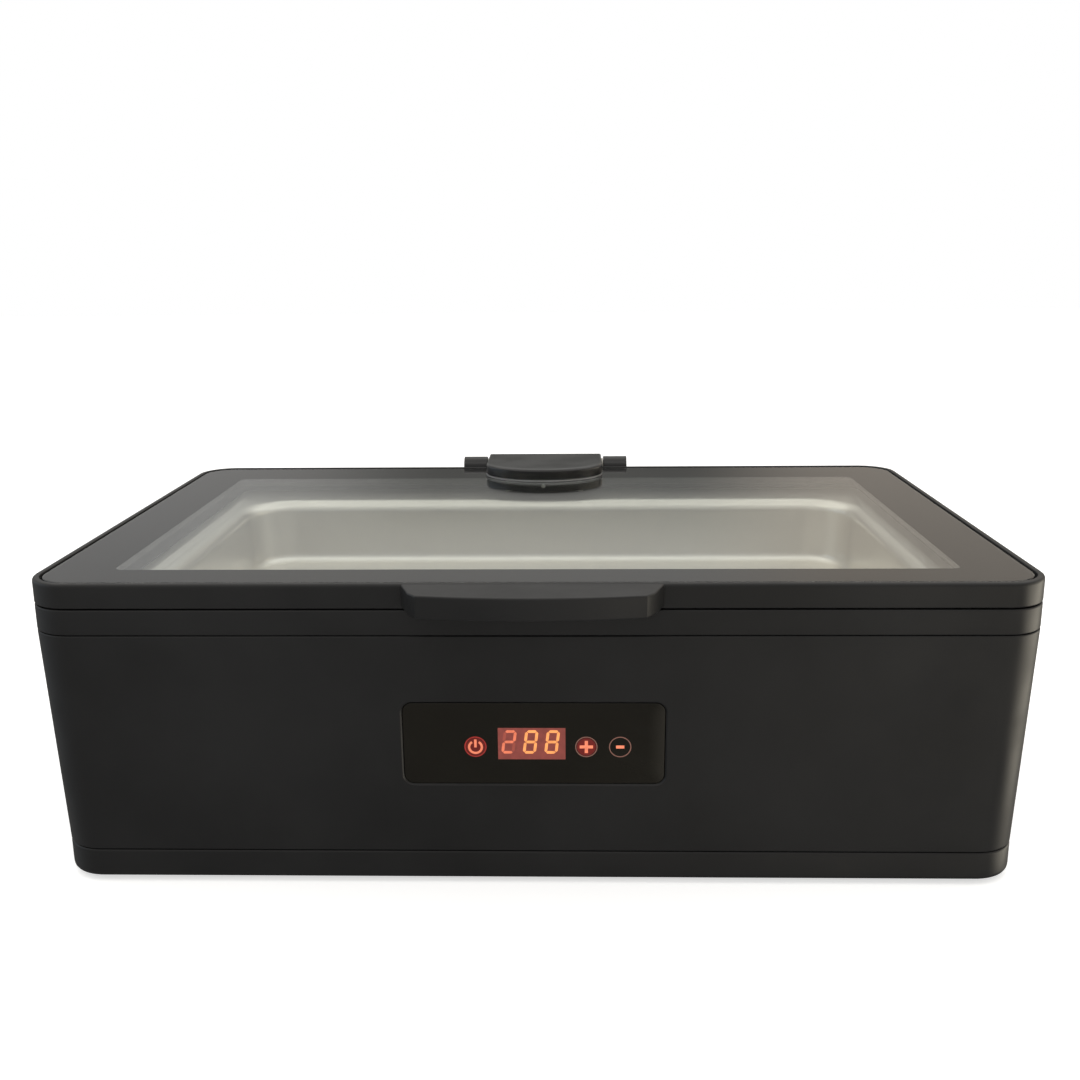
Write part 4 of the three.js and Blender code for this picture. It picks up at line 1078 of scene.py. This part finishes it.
def world():
    """White paper to the camera. What the gloss reflects is a dimmer room: dusky low down
    behind the heater, brightest high on the walls and dim straight overhead, with a cool
    window on the left and a warm one on the right."""
    space = bpy.data.worlds.new("room")
    bpy.context.scene.world = space
    space.use_nodes = True
    tree = space.node_tree
    nodes, links = tree.nodes, tree.links
    room = nodes["Background"]
    coords = nodes.new("ShaderNodeTexCoord")
    split = nodes.new("ShaderNodeSeparateXYZ")
    links.new(coords.outputs["Generated"], split.inputs["Vector"])
    x, y, z = (split.outputs[axis] for axis in "XYZ")
    ramp = nodes.new("ShaderNodeValToRGB")
    links.new(graded_linear(tree, z), ramp.inputs["Fac"])
    stops = ramp.color_ramp.elements
    stops.remove(stops[1])
    for i, (height, value) in enumerate(ROOM_LEVELS):
        stop = stops[0] if i == 0 else stops.new((height + 1) / 2)  # each one above the last
        stop.color = (value, value * 0.985, value * 0.95, 1)
    colour = ramp.outputs["Color"]
    # dusk straight behind the heater, just above the horizon
    behind = product(tree, graded(tree, y, 0, 1, 0.7, 0.95), graded(tree, z, 1, 0, 0.17, 0.26),
                     graded(tree, z, 0, 1, -0.02, 0.03))
    centre = product(tree, behind, graded(tree, x, 0, 1, -0.26, -0.1),
                     graded(tree, x, 1, 0, 0.1, 0.26))
    colour = blend(tree, centre, colour, DUSK)
    # walls on either side of it
    band = product(tree, graded(tree, z, 0, 1, 0.08, 0.16), graded(tree, z, 1, 0, 0.4, 0.5))
    near_left = product(tree, band, graded(tree, x, 0.5, 0, -0.36, -0.22))
    near_right = product(tree, band, graded(tree, x, 0, 0.6, 0.08, 0.24))
    colour = blend(tree, near_left, colour, COOL_SIDE)
    colour = blend(tree, near_right, colour, WARM_SIDE)
    # warm light low in front, to the right
    front = product(tree, graded(tree, x, 0, 0.8, 0.05, 0.35), graded(tree, y, 1, 0, -0.9, -0.5),
                    graded(tree, z, 1, 0, 0, 0.1))
    colour = blend(tree, front, colour, WARM_FRONT)
    # the two windows, square to the sides
    high = graded(tree, z, 1, 0, 0.45, 0.6)
    left = product(tree, high, graded(tree, x, 1, 0, -0.92, -0.78),
                   graded(tree, z, 0.05, 0.3, -0.1, 0.1))
    right = product(tree, high, graded(tree, x, 0, 1, 0.78, 0.92),
                    graded(tree, z, 1, 0.2, -0.1, 0.1), graded(tree, z, 0, 1, -0.6, -0.45))
    colour = blend(tree, left, colour, COOL_WINDOW)
    colour = blend(tree, right, colour, WARM_WINDOW)
    links.new(colour, room.inputs["Color"])
    paper = nodes.new("ShaderNodeBackground")
    paper.inputs["Color"].default_value = (1, 1, 1, 1)
    path = nodes.new("ShaderNodeLightPath")
    mix = nodes.new("ShaderNodeMixShader")
    links.new(path.outputs["Is Camera Ray"], mix.inputs["Fac"])
    links.new(room.outputs["Background"], mix.inputs[1])
    links.new(paper.outputs["Background"], mix.inputs[2])
    links.new(mix.outputs["Shader"], nodes["World Output"].inputs["Surface"])


def softbox(name, place, aim, size, power, colour=(1, 1, 1)):
    data = bpy.data.lights.new(name, "AREA")
    data.shape = "RECTANGLE"
    data.size, data.size_y = size
    data.energy = power
    data.color = colour
    lamp = bpy.data.objects.new(name, data)
    lamp.location = place
    lamp.rotation_euler = (Vector(aim) - Vector(place)).to_track_quat("-Z", "Y").to_euler()
    bpy.context.scene.collection.objects.link(lamp)
    return lamp


def camera():
    """Stands in front of the heater, a little to its right and above it, tilted down."""
    data = bpy.data.cameras.new("camera")
    data.lens = 39
    data.sensor_width = 36
    pitch, yaw, roll = radians(13.951), radians(1.523), radians(-0.511)
    ahead = Vector((-sin(yaw) * cos(pitch), cos(yaw) * cos(pitch), -sin(pitch)))
    right = Vector((cos(yaw), sin(yaw), 0))
    up = right.cross(ahead)
    tilted_right = cos(roll) * right + sin(roll) * up
    tilted_up = -sin(roll) * right + cos(roll) * up
    turn = Matrix((tilted_right, tilted_up, -ahead)).transposed()
    eye = bpy.data.objects.new("camera", data)
    aside, away, above = 20.5 * MM, 776.8 * MM, 173.8 * MM
    stand = Vector((aside, MID_Y - away, LID_TOP + above))
    eye.matrix_world = Matrix.Translation(stand) @ turn.to_4x4()
    bpy.context.scene.collection.objects.link(eye)
    bpy.context.scene.camera = eye


stage()
world()
softbox("overhead", place=(0, 0.1, 1.7), aim=(0, 0, 0), size=(3.0, 2.4), power=22.6,
        colour=(1, 0.98, 0.94))
camera()
bpy.context.scene.view_settings.view_transform = "Standard"
